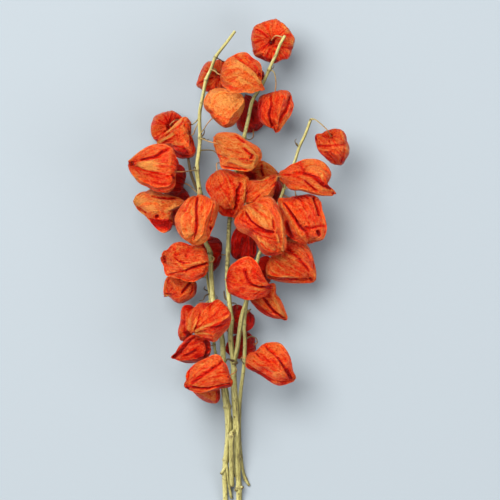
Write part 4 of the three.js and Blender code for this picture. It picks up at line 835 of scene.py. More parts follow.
def path_length(points):
    fine = spline(points, LENGTH_POINTS)
    return float(np.linalg.norm(np.diff(fine, axis=0), axis=1).sum())


def grid_faces(rings, sides, first):
    """Quads between rings of points, each ring closed on itself."""
    ring, side = np.meshgrid(np.arange(rings - 1), np.arange(sides), indexing="ij")
    here = first + ring * sides + side
    there = first + ring * sides + (side + 1) % sides
    return np.stack([here, there, there + sides, here + sides], -1).reshape(-1, 4)


def closed_faces(rings, sides, first=0):
    """Faces of rings of points that lie between two end points, in that order."""
    side, onward = np.arange(sides), (np.arange(sides) + 1) % sides
    start, last = first + 1, first + 1 + rings * sides
    final = start + (rings - 1) * sides
    first_fan = np.stack([np.full(sides, first), start + onward, start + side], -1)
    last_fan = np.stack([np.full(sides, last), final + side, final + onward], -1)
    return grid_faces(rings, sides, start), np.vstack([first_fan, last_fan])


def make_mesh(name, points, quads, triangles, attributes):
    """A smooth-shaded mesh object from millimetres, with named values per point."""
    mesh = bpy.data.meshes.new(name)
    placed = (np.asarray(points) + ORIGIN_SHIFT) * MM
    loops = np.concatenate([quads.reshape(-1), triangles.reshape(-1)]).astype(np.int32)
    totals = np.concatenate([np.full(len(quads), 4), np.full(len(triangles), 3)]).astype(np.int32)
    starts = np.concatenate([[0], np.cumsum(totals)[:-1]]).astype(np.int32)
    mesh.vertices.add(len(placed))
    mesh.vertices.foreach_set("co", placed.astype(np.float32).reshape(-1))
    mesh.loops.add(len(loops))
    mesh.loops.foreach_set("vertex_index", loops)
    mesh.polygons.add(len(totals))
    mesh.polygons.foreach_set("loop_start", starts)
    mesh.update(calc_edges=True)
    mesh.polygons.foreach_set("use_smooth", np.ones(len(totals), bool))
    for label, values in attributes.items():
        values = np.asarray(values, np.float32)
        kind = "FLOAT" if values.ndim == 1 else "FLOAT_VECTOR"
        field = "value" if values.ndim == 1 else "vector"
        mesh.attributes.new(label, kind, "POINT").data.foreach_set(field, values.reshape(-1))
    mesh.validate()
    piece = bpy.data.objects.new(name, mesh)
    bpy.context.scene.collection.objects.link(piece)
    return piece


# ---------------------------------------------------------------- husks

def husk_axis(row, along):
    """Places on a husk's middle line, bent from its mouth to its point."""
    mouth, point = np.array(row["mouth"], float), np.array(row["point"], float)
    middle = (mouth + point) / 2 + np.array(row.get("bend", (0, 0, 0)), float)
    t = np.asarray(along)[..., None]
    return (1 - t) ** 2 * mouth + 2 * t * (1 - t) * middle + t**2 * point


def husk_frame(row):
    """The directions along, across and through a husk."""
    along = unit(np.array(row["point"], float) - np.array(row["mouth"], float))
    reference = np.array([0.0, 1, 0]) if abs(along[2]) > 0.85 else np.array([0.0, 0, 1])
    across = unit(np.cross(along, reference))
    return along, across, np.cross(across, along)


def folded_planes(places, rng, count, strength):
    """Relief of folded paper: ridges and valleys where random planes cut the form."""
    relief = np.zeros(places.shape[:-1])
    for _ in range(count):
        normal = unit(rng.normal(size=3) * np.array([1, 0.45, 1]))
        offset = rng.uniform(-0.75, 0.75)
        sign = -1 if rng.random() < 0.6 else 1
        distance = places @ normal - offset
        relief += sign * strength * rng.uniform(0.5, 1.2) * np.sqrt(distance**2 + 0.0003)
    return relief - relief.mean()


def short_creases(places, rng, count, strength):
    """Short sharp dents and ridges at random places on the form."""
    relief = np.zeros(places.shape[:-1])
    flat = places.reshape(-1, 3)
    for _ in range(count):
        centre = flat[rng.integers(len(flat))]
        normal = unit(rng.normal(size=3) * np.array([1, 0.4, 1]))
        reach = rng.uniform(0.22, 0.55)
        near = np.exp(-(((places - centre) ** 2).sum(-1)) / reach**2)
        distance = (places - centre) @ normal
        fold = 1 - np.minimum(np.abs(distance) / (0.3 * reach), 1)
        relief += rng.choice([-1, -1, 1]) * strength * rng.uniform(0.4, 1.2) * near * fold
    return relief


def drifting_lines(rng, sides, along, rows, softness):
    """Random relief that runs lengthwise in lines, which fade, drift and merge."""
    place = np.clip(along, 0, 1) * (rows - 1)
    relief = np.zeros(along.shape)
    for row in range(rows):
        line = rng.normal(size=sides)
        for _ in range(softness):
            line = 0.25 * np.roll(line, 1) + 0.5 * line + 0.25 * np.roll(line, -1)
        weight = np.clip(1 - np.abs(place - row), 0, 1)
        relief += line / line.std() * weight * weight * (3 - 2 * weight)
    return relief


def husk_surface(row, rng):
    """The points of a husk, and where each lies along it, round it and between its ribs."""
    sides, rings = BACK_DETAIL if row["tone"] == "deep" else HUSK_DETAIL
    profile = spline(HUSK_PROFILE, rings)
    share = np.linspace(0, 1, rings)
    along, radius = (np.repeat(profile[:, k, None], sides, 1) for k in (0, 1))
    radius = np.maximum(radius, 0)
    slope = np.gradient(profile, share, axis=0)
    outward = unit(np.stack([-slope[:, 1], slope[:, 0] * 2.2], 1))[:, None, :]  # along, out

    # Columns of points follow the ribs and crowd towards them and the mid veins.
    column = np.arange(sides) * RIBS / sides
    column = column - 0.45 * np.sin(4 * math.pi * column) / (4 * math.pi)
    face = np.broadcast_to(np.floor(column + 1e-6).astype(int) % RIBS, along.shape)
    across_face = np.broadcast_to(column % 1, along.shape)
    turn = row.get("turn", rng.uniform(0, TAU))
    twist = rng.uniform(-0.5, 0.5)
    wander = 0.09 * np.sin(along * rng.uniform(3, 7) + rng.uniform(0, TAU))
    uneven = 0.16 * np.sin(column / RIBS * TAU + rng.uniform(0, TAU))
    angle = column / RIBS * TAU + uneven + turn - twist * (along - 0.3) - wander

    # Between the ribs a face is flat, sunken, or folded in along a line.
    body = smooth_step(0.0, 0.16, along) * smooth_step(1.0, 0.85, along)
    sunk = rng.uniform(*FACE_SUNK, RIBS)
    folded = rng.uniform(*FACE_FOLDED, RIBS)
    deepest = rng.permutation(RIBS)[:DEEP_FOLDS]
    folded[deepest] += rng.uniform(*DEEP_FOLD, DEEP_FOLDS) * row.get("collapse", 1.0)
    lean = rng.uniform(*FOLD_LEAN, RIBS)[face]
    leaned = np.where(across_face < lean, 0.5 * across_face / lean,
                      0.5 + 0.5 * (across_face - lean) / (1 - lean))
    centre = rng.uniform(*FOLD_PLACE, RIBS)[face]
    window = bell(along - centre, FOLD_LENGTH)
    arch = np.sin(math.pi * across_face) ** 0.8
    valley = 1 - np.abs(2 * leaned - 1)
    sinking = sunk[face] * arch * smooth_step(0.02, 0.3, along)
    shape = 1 - sinking - folded[face] * window * valley**1.15
    from_rib = np.minimum(across_face, 1 - across_face)
    rib_line = bell(from_rib, RIB_WIDTH)
    mid_line = bell(across_face - 0.5, RIB_WIDTH)
    crest = (RIB_CREST * rib_line + VEIN_CREST * mid_line) * body

    # The point: the faces draw in, so that the ribs end as small free lobes.
    tip = smooth_step(TIP_START, 1.0, along)
    lobed = np.abs(np.cos(math.pi * across_face))
    shape = shape * (1 - DRAWN_IN * tip * (1 - lobed**1.6))
    lobes = rng.uniform(*LOBE_REACH, RIBS + 1)
    lobe = np.where(across_face < 0.5, lobes[face], lobes[(face + 1) % RIBS])
    reach = along + tip * lobe * lobed**3

    radius = radius * shape
    half = row["wide"] / 2
    length = np.linalg.norm(np.array(row["point"], float) - np.array(row["mouth"], float))
    local = np.stack([radius * np.cos(angle), (reach - 0.45) * length / half,
                      radius * np.sin(angle)], -1)
    open_form = smooth_step(0.0, 0.12, radius)
    crumple = row.get("crumple", 1.0)
    coarse = drifting_lines(rng, sides, along, rows=5, softness=10)
    fine = drifting_lines(rng, sides, along, rows=7, softness=2)
    wrinkles = 0.8 - np.abs(drifting_lines(rng, sides, along, rows=12, softness=2))
    near_mouth = bell(along, 0.16) * smooth_step(0.05, 0.4, radius)
    relief = crest + COARSE_RELIEF * coarse + MOUTH_RELIEF * fine * near_mouth
    relief = relief + (FINE_RELIEF * fine + WRINKLE_RELIEF * wrinkles)
    relief = relief + crumple * open_form * folded_planes(local, rng, **PLANES)
    relief = relief + crumple * open_form * short_creases(local, rng, **CREASES)

    radius = radius + relief * outward[..., 1] * open_form
    reach = reach + relief * outward[..., 0] * half / length
    radius = np.maximum(radius, 0)

    _, across, through = husk_frame(row)
    wobble = rng.uniform(-1.0, 1.0, 2)
    centre_line = husk_axis(row, reach)
    centre_line = centre_line + tip[..., None] * (wobble[0] * across + wobble[1] * through)
    round_x, round_z = radius * np.cos(angle), radius * np.sin(angle)
    round_x, round_z = (
        (value - (value.max() + value.min()) / 2) * 2 / np.ptp(value) for value in (round_x, round_z)
    )
    points = (centre_line + round_x[..., None] * across * half
              + round_z[..., None] * through * row["deep"] / 2)
    rib_wave = np.stack([np.cos(TAU * across_face), np.sin(TAU * across_face), body], -1)
    return points, along, column / RIBS * TAU + 0 * along, rib_wave


def surface_normals(points):
    around = np.roll(points, -1, 1) - np.roll(points, 1, 1)
    along = np.gradient(points, axis=0)
    return unit(np.cross(along, around))


def blurred(points, cells):
    """The points, each averaged with those around it."""
    total = np.zeros_like(points)
    padded = np.concatenate([points[:1]] * cells + [points] + [points[-1:]] * cells)
    for step in range(2 * cells + 1):
        total += padded[step:step + len(points)]
    points = total / (2 * cells + 1)
    total = np.zeros_like(points)
    for step in range(-cells, cells + 1):
        total += np.roll(points, step, 1)
    return total / (2 * cells + 1)


def near_line(places, line):
    """How far each place is from a line, seen from above, and its side (1 is left)."""
    best = np.full(places.shape[:-1], np.inf)
    side = np.zeros(places.shape[:-1])
    for start, end in zip(line, line[1:]):
        start, end = np.array(start, float), np.array(end, float)
        run = end - start
        offset = places[..., :2] - start
        share = np.clip((offset @ run) / (run @ run), 0, 1)
        distance = np.linalg.norm(offset - share[..., None] * run, axis=-1)
        turned = run[0] * offset[..., 1] - run[1] * offset[..., 0]
        side = np.where(distance < best, np.sign(turned), side)
        best = np.minimum(best, distance)
    return best, side


def fit_outline(points, outline):
    """Stretches a form sideways until its outline from above is the given one."""
    outline = np.array(outline, float)
    closed = spline(np.vstack([outline[-1:], outline, outline[:2]]), OUTLINE_POINTS)
    centre = (outline.min(0) + outline.max(0)) / 2
    steps = np.arange(OUTLINE_BINS) * TAU / OUTLINE_BINS

    def reach_by_angle(places):
        offset = places - centre
        angle = np.arctan2(offset[:, 1], offset[:, 0]) % TAU
        reach = np.zeros(OUTLINE_BINS)
        place = (angle / TAU * OUTLINE_BINS).astype(int) % OUTLINE_BINS
        np.maximum.at(reach, place, np.linalg.norm(offset, axis=1))
        filled = reach > 0
        return np.interp(steps, steps[filled], reach[filled], period=TAU)

    between = [points[:-1] * (1 - part) + points[1:] * part for part in (0.0, 0.25, 0.5, 0.75)]
    dense = np.concatenate(between)[..., :2].reshape(-1, 2)
    scale = reach_by_angle(closed) / reach_by_angle(dense)
    for _ in range(2):
        scale = 0.25 * np.roll(scale, 1) + 0.5 * scale + 0.25 * np.roll(scale, -1)
    offset = points[..., :2] - centre
    angle = np.arctan2(offset[..., 1], offset[..., 0]) % TAU
    stretch = np.interp(angle, steps, scale, period=TAU)
    distance = np.linalg.norm(offset, axis=-1)
    stretch = 1 + (stretch - 1) * smooth_step(0, CENTRE_KEPT, distance)
    points = points.copy()
    points[..., :2] = centre + offset * stretch[..., None]
    return points


def make_husk(index, row, materials):
    """Makes one husk and returns the middle of its mouth, where its stalk meets it."""
    rng = np.random.default_rng(HUSK_SEED + HUSK_SEED_STEP * index)
    row = {**row, **HUSK_LOOKS.get(index + 1, {})}
    points, along, angle, rib_wave = husk_surface(row, rng)
    if "outline" in row:
        points = fit_outline(points, row["outline"])
    normals = surface_normals(points)
    if (normals * (points - points.mean((0, 1)))).sum(-1).mean() < 0:
        normals = -normals
    facing = smooth_step(-0.1, 0.3, normals[..., 2])
    fold_painted_shade = np.zeros(points.shape[:-1])
    for line, depth, left, right in row.get("folds", []):
        distance, side = near_line(points, line)
        width = np.where(side > 0, left, right)
        valley = np.clip(1 - distance / width, 0, 1) ** FOLD_SHARPNESS * facing
        points = points - normals * (depth * valley)[..., None]
        # Painted shade along a fold, and painted light along a ridge.
        near = np.clip(1 - distance / FOLD_SHADE_REACH, 0, 1)
        shade = np.clip(depth / FOLD_SHADE_DEPTH, -FOLD_SHADE_LIMIT, FOLD_SHADE_LIMIT)
        fold_painted_shade += near * facing * shade
    points[..., 2] = np.maximum(points[..., 2], 0)
    # Raised edges are painted lighter, partly as wear and partly as painted highlight; hollows are painted
    # darker, as painted shade.
    edge_wear_and_painted_light = ((points - blurred(points, EDGE_CELLS)) * normals).sum(-1)
    edge_wear_and_painted_light = np.clip(edge_wear_and_painted_light / EDGE_HEIGHT, -1, 1)

    # Painted shade from the folds, then golden wear, painted highlights and painted shade from the table.
    tint_and_painted_light = -FOLD_PAINTED_SHADE * np.clip(fold_painted_shade, -1, 1.5)
    for line, width, strength in row.get("tints_and_painted_light", []):
        tint_and_painted_light = tint_and_painted_light + strength * bell(near_line(points, line)[0], width) * facing
    rings, sides = points.shape[:2]
    grain = np.stack([HUSK_GRAIN_ROUND * np.cos(angle), HUSK_GRAIN_ROUND * np.sin(angle),
                      along * HUSK_GRAIN_ALONG + index], -1)
    attributes = dict(
        edge_wear_and_painted_light=edge_wear_and_painted_light.reshape(-1), tint_and_painted_light=tint_and_painted_light.reshape(-1), rib_wave=rib_wave.reshape(-1, 3),
        grain=grain.reshape(-1, 3),
        # The tone is each husk's own colour, with painted light and painted shade from its light value and
        # from the deep kind.
        tone=np.full(rings * sides, TONE_SHIFT[row["tone"]] + row.get("light", 0.0)),
    )
    # The first and last ring are single points, so they are one vertex each.
    inner = slice(sides - 1, (rings - 1) * sides + 1)
    flat = points.reshape(-1, 3)[inner]
    attributes = {label: values[inner] for label, values in attributes.items()}
    piece = make_mesh(f"husk_{index + 1:02d}", flat, *closed_faces(rings - 2, sides), attributes)
    face_outwards(piece)
    piece.data.materials.append(materials["husk"])
    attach(piece, "root")
    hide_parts(f"lantern_{index + 1:02d}")
    return flat[0]


def face_outwards(piece):
    """Turns a closed mesh's faces outwards where its volume comes out negative."""
    mesh = piece.data
    mesh.calc_loop_triangles()
    corners = np.empty(len(mesh.loop_triangles) * 3, np.int32)
    mesh.loop_triangles.foreach_get("vertices", corners)
    places = np.empty(len(mesh.vertices) * 3, np.float32)
    mesh.vertices.foreach_get("co", places)
    a, b, c = places.reshape(-1, 3)[corners.reshape(-1, 3)].transpose(1, 0, 2)
    if (a * np.cross(b, c)).sum() < 0:
        mesh.flip_normals()


# ---------------------------------------------------------------- stems

def transported_frames(centres):
    """A direction across a path at each of its points, carried along without twist."""
    along = unit(np.gradient(centres, axis=0))
    normal = unit(np.cross(along[0], [0.3, 0.2, 1.0]))
    normals = []
    for direction in along:
        normal = unit(normal - direction * (normal @ direction))
        normals.append(normal)
    normals = np.array(normals)
    return along, normals, np.cross(along, normals)


class Strands:
    """Tubes of one stem, gathered into a single mesh."""

    def __init__(self):
        self.points, self.quads, self.triangles = [], [], []
        self.values = {"kind": [], "scar": [], "painted_side_light": [], "grain": []}
        self.count = 0

    def tube(self, centres, radii, sides, kind, scar, seed, hollow=(0, 0), rough=0.04):
        """A tube with its ends closed, or cut to show a hollow of a depth in mm."""
        rng = np.random.default_rng(seed)
        along, normal, binormal = transported_frames(centres)
        rings = len(centres)
        radii = np.asarray(radii, float)
        lengths = np.concatenate([[0], np.cumsum(np.linalg.norm(np.diff(centres, axis=0), axis=1))])

        def cap(index, outward, depth):
            steps = CLOSED_END
            if depth > 0:
                steps = HOLLOW_RIM + [(0.55, -depth, 1.0), (0.0, -depth - 0.4, 1.0)]
            return [(centres[index] + outward * out, radii[index] * share, index,
                     max(scar[index], dark), lengths[index]) for share, out, dark in steps]

        rows = cap(0, -along[0], hollow[0])[::-1]
        rows += list(zip(centres, radii, range(rings), scar, lengths))
        rows += cap(rings - 1, along[-1], hollow[1])
        centre_rows, radius_rows, frame_rows, scar_rows, length_rows = map(np.array, zip(*rows))
        total = len(centre_rows)
        angle = np.linspace(0, TAU, sides, endpoint=False)
        phases = rng.uniform(0, TAU, 4)[:len(STEM_RIDGES)]
        wave = sum(strength * np.cos(ridges * angle[None, :] + phase + turn * length_rows[:, None])
                   for (ridges, strength, turn), phase in zip(STEM_RIDGES, phases))
        swell = 1 + rough * wave
        across = (normal[frame_rows][:, None, :] * np.cos(angle)[None, :, None]
                  + binormal[frame_rows][:, None, :] * np.sin(angle)[None, :, None])
        points = centre_rows[:, None, :] + across * (radius_rows[:, None] * swell)[..., None]
        points[..., 2] = np.maximum(points[..., 2], 0.0)
        body = points[1:-1].reshape(-1, 3)
        # How far each point faces the lit side, for painted light on the stems.
        painted_side_light = (across[1:-1] @ unit(PAINTED_LIGHT_SIDE)).reshape(-1)
        start, end = points[0].mean(0), points[-1].mean(0)
        self.points += [start[None], body, end[None]]
        quads, triangles = closed_faces(total - 2, sides, self.count)
        self.quads.append(quads)
        self.triangles.append(triangles)
        kinds = np.broadcast_to(np.asarray(kind, float), (rings,))[frame_rows]

        def per_point(rows):
            rows = np.asarray(rows, float)
            return np.concatenate([rows[:1], np.repeat(rows[1:-1], sides), rows[-1:]])

        self.values["kind"].append(per_point(kinds))
        self.values["scar"].append(per_point(scar_rows))
        self.values["painted_side_light"].append(np.concatenate([[0], painted_side_light, [0]]))
        turn = np.concatenate([[0], np.tile(angle, total - 2), [0]])
        length = per_point(length_rows) * STEM_GRAIN_ALONG + seed
        self.values["grain"].append(np.stack([np.cos(turn), np.sin(turn), length], -1))
        self.count += len(body) + 2

    def make(self, name):
        values = {label: np.concatenate(rows) for label, rows in self.values.items()}
        return make_mesh(name, np.vstack(self.points), np.vstack(self.quads),
                         np.vstack(self.triangles), values)


def knot_swelling(centres, knots):
    """How much a stem swells at its knots, and where the ring scars lie."""
    swelling, scar = np.zeros(len(centres)), np.zeros(len(centres))
    for knot in knots:
        distance = np.linalg.norm(centres - np.array(knot, float), axis=1)
        nearest = distance.min()
        if nearest > KNOT_REACH:
            continue
        distance = np.sqrt(np.maximum(distance**2 - nearest**2, 0))
        swelling += sum(size * bell(distance, reach) for size, reach in KNOT_SWELLINGS)
        scar += KNOT_RING[0] * bell(distance, KNOT_RING[1])
    return 1 + swelling, np.clip(scar, 0, KNOT_BROWN_LIMIT)


def add_stalk(strands, row, end, seed):
    """The thin stalk from a stem to the bottom of a husk's mouth."""
    end = end + STALK_GAP * husk_frame(row)[0]
    route = [np.array(place, float) for place in row["stalk"]] + [end]
    centres = spline(route, max(14, int(path_length(route) / STALK_STEP)))
    share = np.linspace(0, 1, len(centres))
    radii = STALK_RADIUS + STALK_FOOT[0] * bell(share, STALK_FOOT[1])
    radii = radii + STALK_HEAD[0] * bell(1 - share, STALK_HEAD[1])
    strands.tube(centres, radii, STALK_SIDES, kind=0.1 + 0.9 * share**1.5,
                 scar=np.full(len(centres), STALK_BROWN), seed=seed, rough=0.05)


def make_stem(name, stem, mouths, materials, seed):
    """One stem with its side stems, twigs, dry bits and the stalks of its husks."""
    strands = Strands()
    for order, (path, radii) in enumerate([(stem["path"], stem["radii"])] + stem["twigs"]):
        main, long = order == 0, len(path) > LONG_PATH
        length = path_length(path)
        centres = spline(path, max(6, int(length / STEM_STEP)))
        share = np.linspace(0, 1, len(centres))
        swelling, scar = knot_swelling(centres, stem["knots"] if long else [])
        taper = np.interp(share, np.linspace(0, 1, len(radii)), radii) * swelling
        # A stem is cut at its start and a twig at its end.
        from_cut = length * (share if main else 1 - share)
        scar = np.maximum(scar, END_BROWN * bell(from_cut, DRY_END))
        # Brown stretches; under the husks they are partly painted shadow.
        for place, reach, strength in stem.get("browned_and_shaded", []):
            distance = np.linalg.norm(centres - np.array(place, float), axis=1)
            scar = np.maximum(scar, strength * bell(distance, reach))
        hollow = (
            CUT_HOLLOW if main and radii[0] > CUT_HOLLOW else 0,
            TIP_HOLLOW if long else 0,
        )
        sides = STEM_SIDES if radii[0] > TWIG_RADIUS else TWIG_SIDES
        strands.tube(centres, taper, sides, kind=0.0, scar=scar, seed=seed + order, hollow=hollow)
    for order, (path, (start, end)) in enumerate(stem.get("dry", [])):
        strands.tube(spline(path, DRY_RINGS), np.linspace(start, end, DRY_RINGS), STALK_SIDES, kind=0.3,
                     scar=np.ones(DRY_RINGS), seed=seed + DRY_SEED + order, rough=0.12)
    for index, row in enumerate(HUSKS):
        if row["stem"] == name:
            add_stalk(strands, row, mouths[index], seed + STALK_SEED + index)
    piece = strands.make(f"{name}_straw")
    face_outwards(piece)
    piece.data.materials.append(materials["stem"])
    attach(piece, "root")
    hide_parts(name)


# ---------------------------------------------------------------- materials

class Nodes:
    """A material's node tree, with a short way to add and join nodes."""

    def __init__(self, name):
        self.material = bpy.data.materials.new(name)
        self.material.use_nodes = True
        self.tree = self.material.node_tree
        self.shader = self.tree.nodes["Principled BSDF"]

    def link(self, source, target):
        self.tree.links.new(source, target)

    def add(self, kind, **settings):
        node = self.tree.nodes.new(kind)
        for key, value in settings.items():
            setattr(node, key, value)
        return node

    def put(self, socket, value):
        if isinstance(value, bpy.types.NodeSocket):
            self.link(value, socket)
        else:
            socket.default_value = value

    def value(self, name):
        return self.add("ShaderNodeAttribute", attribute_name=name).outputs["Fac"]

    def vector(self, name):
        return self.add("ShaderNodeAttribute", attribute_name=name).outputs["Vector"]

    def maths(self, operation, a, b=0.0, c=0.0, clamp=False):
        node = self.add("ShaderNodeMath", operation=operation, use_clamp=clamp)
        for socket, value in zip(node.inputs, (a, b, c)):
            self.put(socket, value)
        return node.outputs[0]

    def noise(self, vector, scale, detail, roughness=0.55, distortion=0.0):
        node = self.add("ShaderNodeTexNoise")
        self.link(vector, node.inputs["Vector"])
        node.inputs["Scale"].default_value = scale
        node.inputs["Detail"].default_value = detail
        node.inputs["Roughness"].default_value = roughness
        node.inputs["Distortion"].default_value = distortion
        return node.outputs["Fac"]

    def cells(self, vector, scale):
        node = self.add("ShaderNodeTexVoronoi", feature="DISTANCE_TO_EDGE")
        self.link(vector, node.inputs["Vector"])
        node.inputs["Scale"].default_value = scale
        return node.outputs["Distance"]

    def ramp(self, value, stops):
        node = self.add("ShaderNodeValToRGB")
        elements = node.color_ramp.elements
        while len(elements) < len(stops):
            elements.new(0.5)
        for element, (place, colour) in zip(elements, stops):
            element.position = place
            element.color = (*colour, 1)
        self.link(value, node.inputs[0])
        return node.outputs[0]

    def mix(self, share, a, b):
        node = self.add("ShaderNodeMix", data_type="RGBA")
        self.put(node.inputs[0], share)
        for socket, value in zip((node.inputs[6], node.inputs[7]), (a, b)):
            self.put(socket, value if isinstance(value, bpy.types.NodeSocket) else (*value, 1))
        return node.outputs[2]

    def bump(self, height, strength, distance):
        node = self.add("ShaderNodeBump")
        node.inputs["Strength"].default_value = strength
        node.inputs["Distance"].default_value = distance
        self.link(height, node.inputs["Height"])
        self.link(node.outputs["Normal"], self.shader.inputs["Normal"])

    def thin_lines(self, noise, sharpness):
        """1 where a noise passes its middle, falling to 0 on either side."""
        aside = self.maths("ABSOLUTE", self.maths("SUBTRACT", noise, 0.5))
        return self.maths("MULTIPLY_ADD", aside, -sharpness, 1.0, clamp=True)

    def above(self, value, threshold, gain):
        """0 up to a threshold, rising to 1 beyond it."""
        over = self.maths("SUBTRACT", value, threshold, clamp=True)
        return self.maths("MULTIPLY", over, gain, clamp=True)

    def add_up(self, total, parts):
        """A total and parts of it: a value, its weight and what is first taken away."""
        for value, weight, less in parts:
            if less:
                total = self.maths("SUBTRACT", total, less)
            total = self.maths("MULTIPLY_ADD", value, weight, total)
        return total

    def scaled(self, vector, scale):
        node = self.add("ShaderNodeVectorMath", operation="MULTIPLY")
        self.link(vector, node.inputs[0])
        node.inputs[1].default_value = scale
        return node.outputs[0]


# Colours are linear. A ramp runs from low to high levels.
HUSK_COLOURS = [
    (0.0, (0.27, 0.002, 0.001)), (0.25, (0.62, 0.006, 0.001)), (0.45, (0.86, 0.024, 0.002)),
    (0.62, (0.90, 0.074, 0.005)), (0.80, (0.90, 0.168, 0.019)), (1.0, (0.92, 0.32, 0.060)),
]
# Painted glints: pale highlights mixed into the colour on the paper's crests.
HUSK_GLINT = (0.96, 0.28, 0.11)
HUSK_SHADE = (0.42, 0.008, 0.003)
HUSK_NET = (0.45, 0.014, 0.005)
HUSK_FLECK = (0.16, 0.02, 0.01)
STRAW_COLOURS = [
    (0.25, (0.055, 0.040, 0.009)), (0.42, (0.215, 0.185, 0.050)),
    (0.60, (0.38, 0.345, 0.120)), (0.80, (0.54, 0.51, 0.25)),
]
STALK_COLOURS = [(0.3, (0.22, 0.05, 0.012)), (0.7, (0.60, 0.19, 0.045))]
SCAR_BROWN = (0.055, 0.028, 0.007)
HUSK_BUMP, STEM_BUMP = 0.0022, 0.0008  # m of relief


def husk_material():
    """Dry papery husk: orange-red, golden where worn, painted light on ridges, painted shade in folds."""
    nodes = Nodes("dry_husk")
    place = nodes.add("ShaderNodeTexCoord").outputs["Object"]
    grain = nodes.vector("grain")
    edge_wear_and_painted_light, tint_and_painted_light, tone = (nodes.value(name) for name in ("edge_wear_and_painted_light", "tint_and_painted_light", "tone"))
    rib_wave = nodes.add("ShaderNodeSeparateXYZ")
    nodes.link(nodes.vector("rib_wave"), rib_wave.inputs[0])
    from_rib = nodes.maths("ARCTAN2", rib_wave.outputs[1], rib_wave.outputs[0])
    from_rib = nodes.maths("ABSOLUTE", from_rib)
    from_mid = nodes.maths("SUBTRACT", math.pi, from_rib)
    rib_line = nodes.maths("MULTIPLY_ADD", from_rib, -6.0, 1.0, clamp=True)
    mid_line = nodes.maths("MULTIPLY_ADD", from_mid, -7.0, 1.0, clamp=True)
    veins = nodes.maths("MULTIPLY_ADD", mid_line, 0.6, rib_line)
    veins = nodes.maths("MULTIPLY", veins, rib_wave.outputs[2])
    blotch = nodes.noise(place, scale=34, detail=3)
    mottle = nodes.noise(place, scale=210, detail=4)
    paper = nodes.noise(place, scale=620, detail=2, roughness=0.7)
    streak = nodes.noise(nodes.scaled(grain, (1.5, 1.5, 1.6)), scale=2.2, detail=5, roughness=0.66)
    wrinkle = nodes.noise(nodes.scaled(grain, (2.4, 2.4, 2.2)), scale=3.0, detail=3, roughness=0.6)
    wrinkle = nodes.thin_lines(wrinkle, sharpness=7.0)
    crease = nodes.noise(place, scale=120, detail=3, roughness=0.6, distortion=0.3)
    crease = nodes.thin_lines(crease, sharpness=9.0)
    along_husk = nodes.scaled(grain, (7.5, 7.5, 2.4))
    lines = nodes.noise(along_husk, scale=1.1, detail=3, roughness=0.6, distortion=0.4)
    lines = nodes.thin_lines(lines, sharpness=8.0)
    # Golden wear, painted highlights and painted shade, broken up by the mottle.
    worn_and_painted_light = nodes.maths("MULTIPLY", tint_and_painted_light, nodes.maths("MULTIPLY_ADD", mottle, 1.1, 0.45))
    level = nodes.add_up(0.40, [
        (blotch, 0.16, 0), (streak, 0.26, 0.13), (mottle, 0.16, 0.08), (wrinkle, 0.07, 0.025),
        (paper, 0.40, 0.20), (lines, 0.10, 0.035), (crease, 0.05, 0.02), (edge_wear_and_painted_light, 0.17, 0),
        (tone, 1.0, 0), (worn_and_painted_light, 0.38, 0), (veins, 0.05, 0),
    ])
    colour = nodes.ramp(level, HUSK_COLOURS)
    # Painted glints on the crests of the fine lines, kept out of the dark places.
    glint = nodes.maths("MULTIPLY_ADD", nodes.maths("SUBTRACT", paper, 0.5), 3.5, 0.5, clamp=True)
    glint = nodes.maths("MULTIPLY", glint, nodes.maths("MULTIPLY_ADD", lines, 0.6, crease))
    lit = nodes.above(level, 0.38, 4.5)
    glint = nodes.maths("MULTIPLY", nodes.maths("MULTIPLY", glint, 0.30), lit)
    colour = nodes.mix(glint, colour, HUSK_GLINT)
    colour = nodes.mix(nodes.above(0.46, paper, 3.2), colour, HUSK_SHADE)
    net = nodes.cells(nodes.scaled(grain, (1.7, 1.7, 2.6)), scale=3.2)
    net_line = nodes.maths("MULTIPLY_ADD", net, -9.0, 1.0, clamp=True)
    colour = nodes.mix(nodes.maths("MULTIPLY", net_line, 0.20), colour, HUSK_NET)
    fleck = nodes.above(nodes.noise(place, scale=420, detail=2), 0.70, 9.0)
    colour = nodes.mix(nodes.maths("MULTIPLY", fleck, 0.5), colour, HUSK_FLECK)
    nodes.link(colour, nodes.shader.inputs["Base Color"])
    nodes.link(nodes.maths("MULTIPLY_ADD", mottle, 0.3, 0.20), nodes.shader.inputs["Roughness"])
    nodes.link(nodes.maths("MULTIPLY_ADD", lines, 0.22, 0.03), nodes.shader.inputs["Specular IOR Level"])
    height = nodes.add_up(nodes.maths("MULTIPLY", streak, 1.2), [
        (net_line, 0.45, 0), (mottle, 0.9, 0), (wrinkle, 0.55, 0), (lines, 0.8, 0),
        (crease, 0.9, 0), (paper, 0.6, 0), (veins, 0.5, 0),
    ])
    nodes.bump(height, strength=1.0, distance=HUSK_BUMP)
    return nodes.material


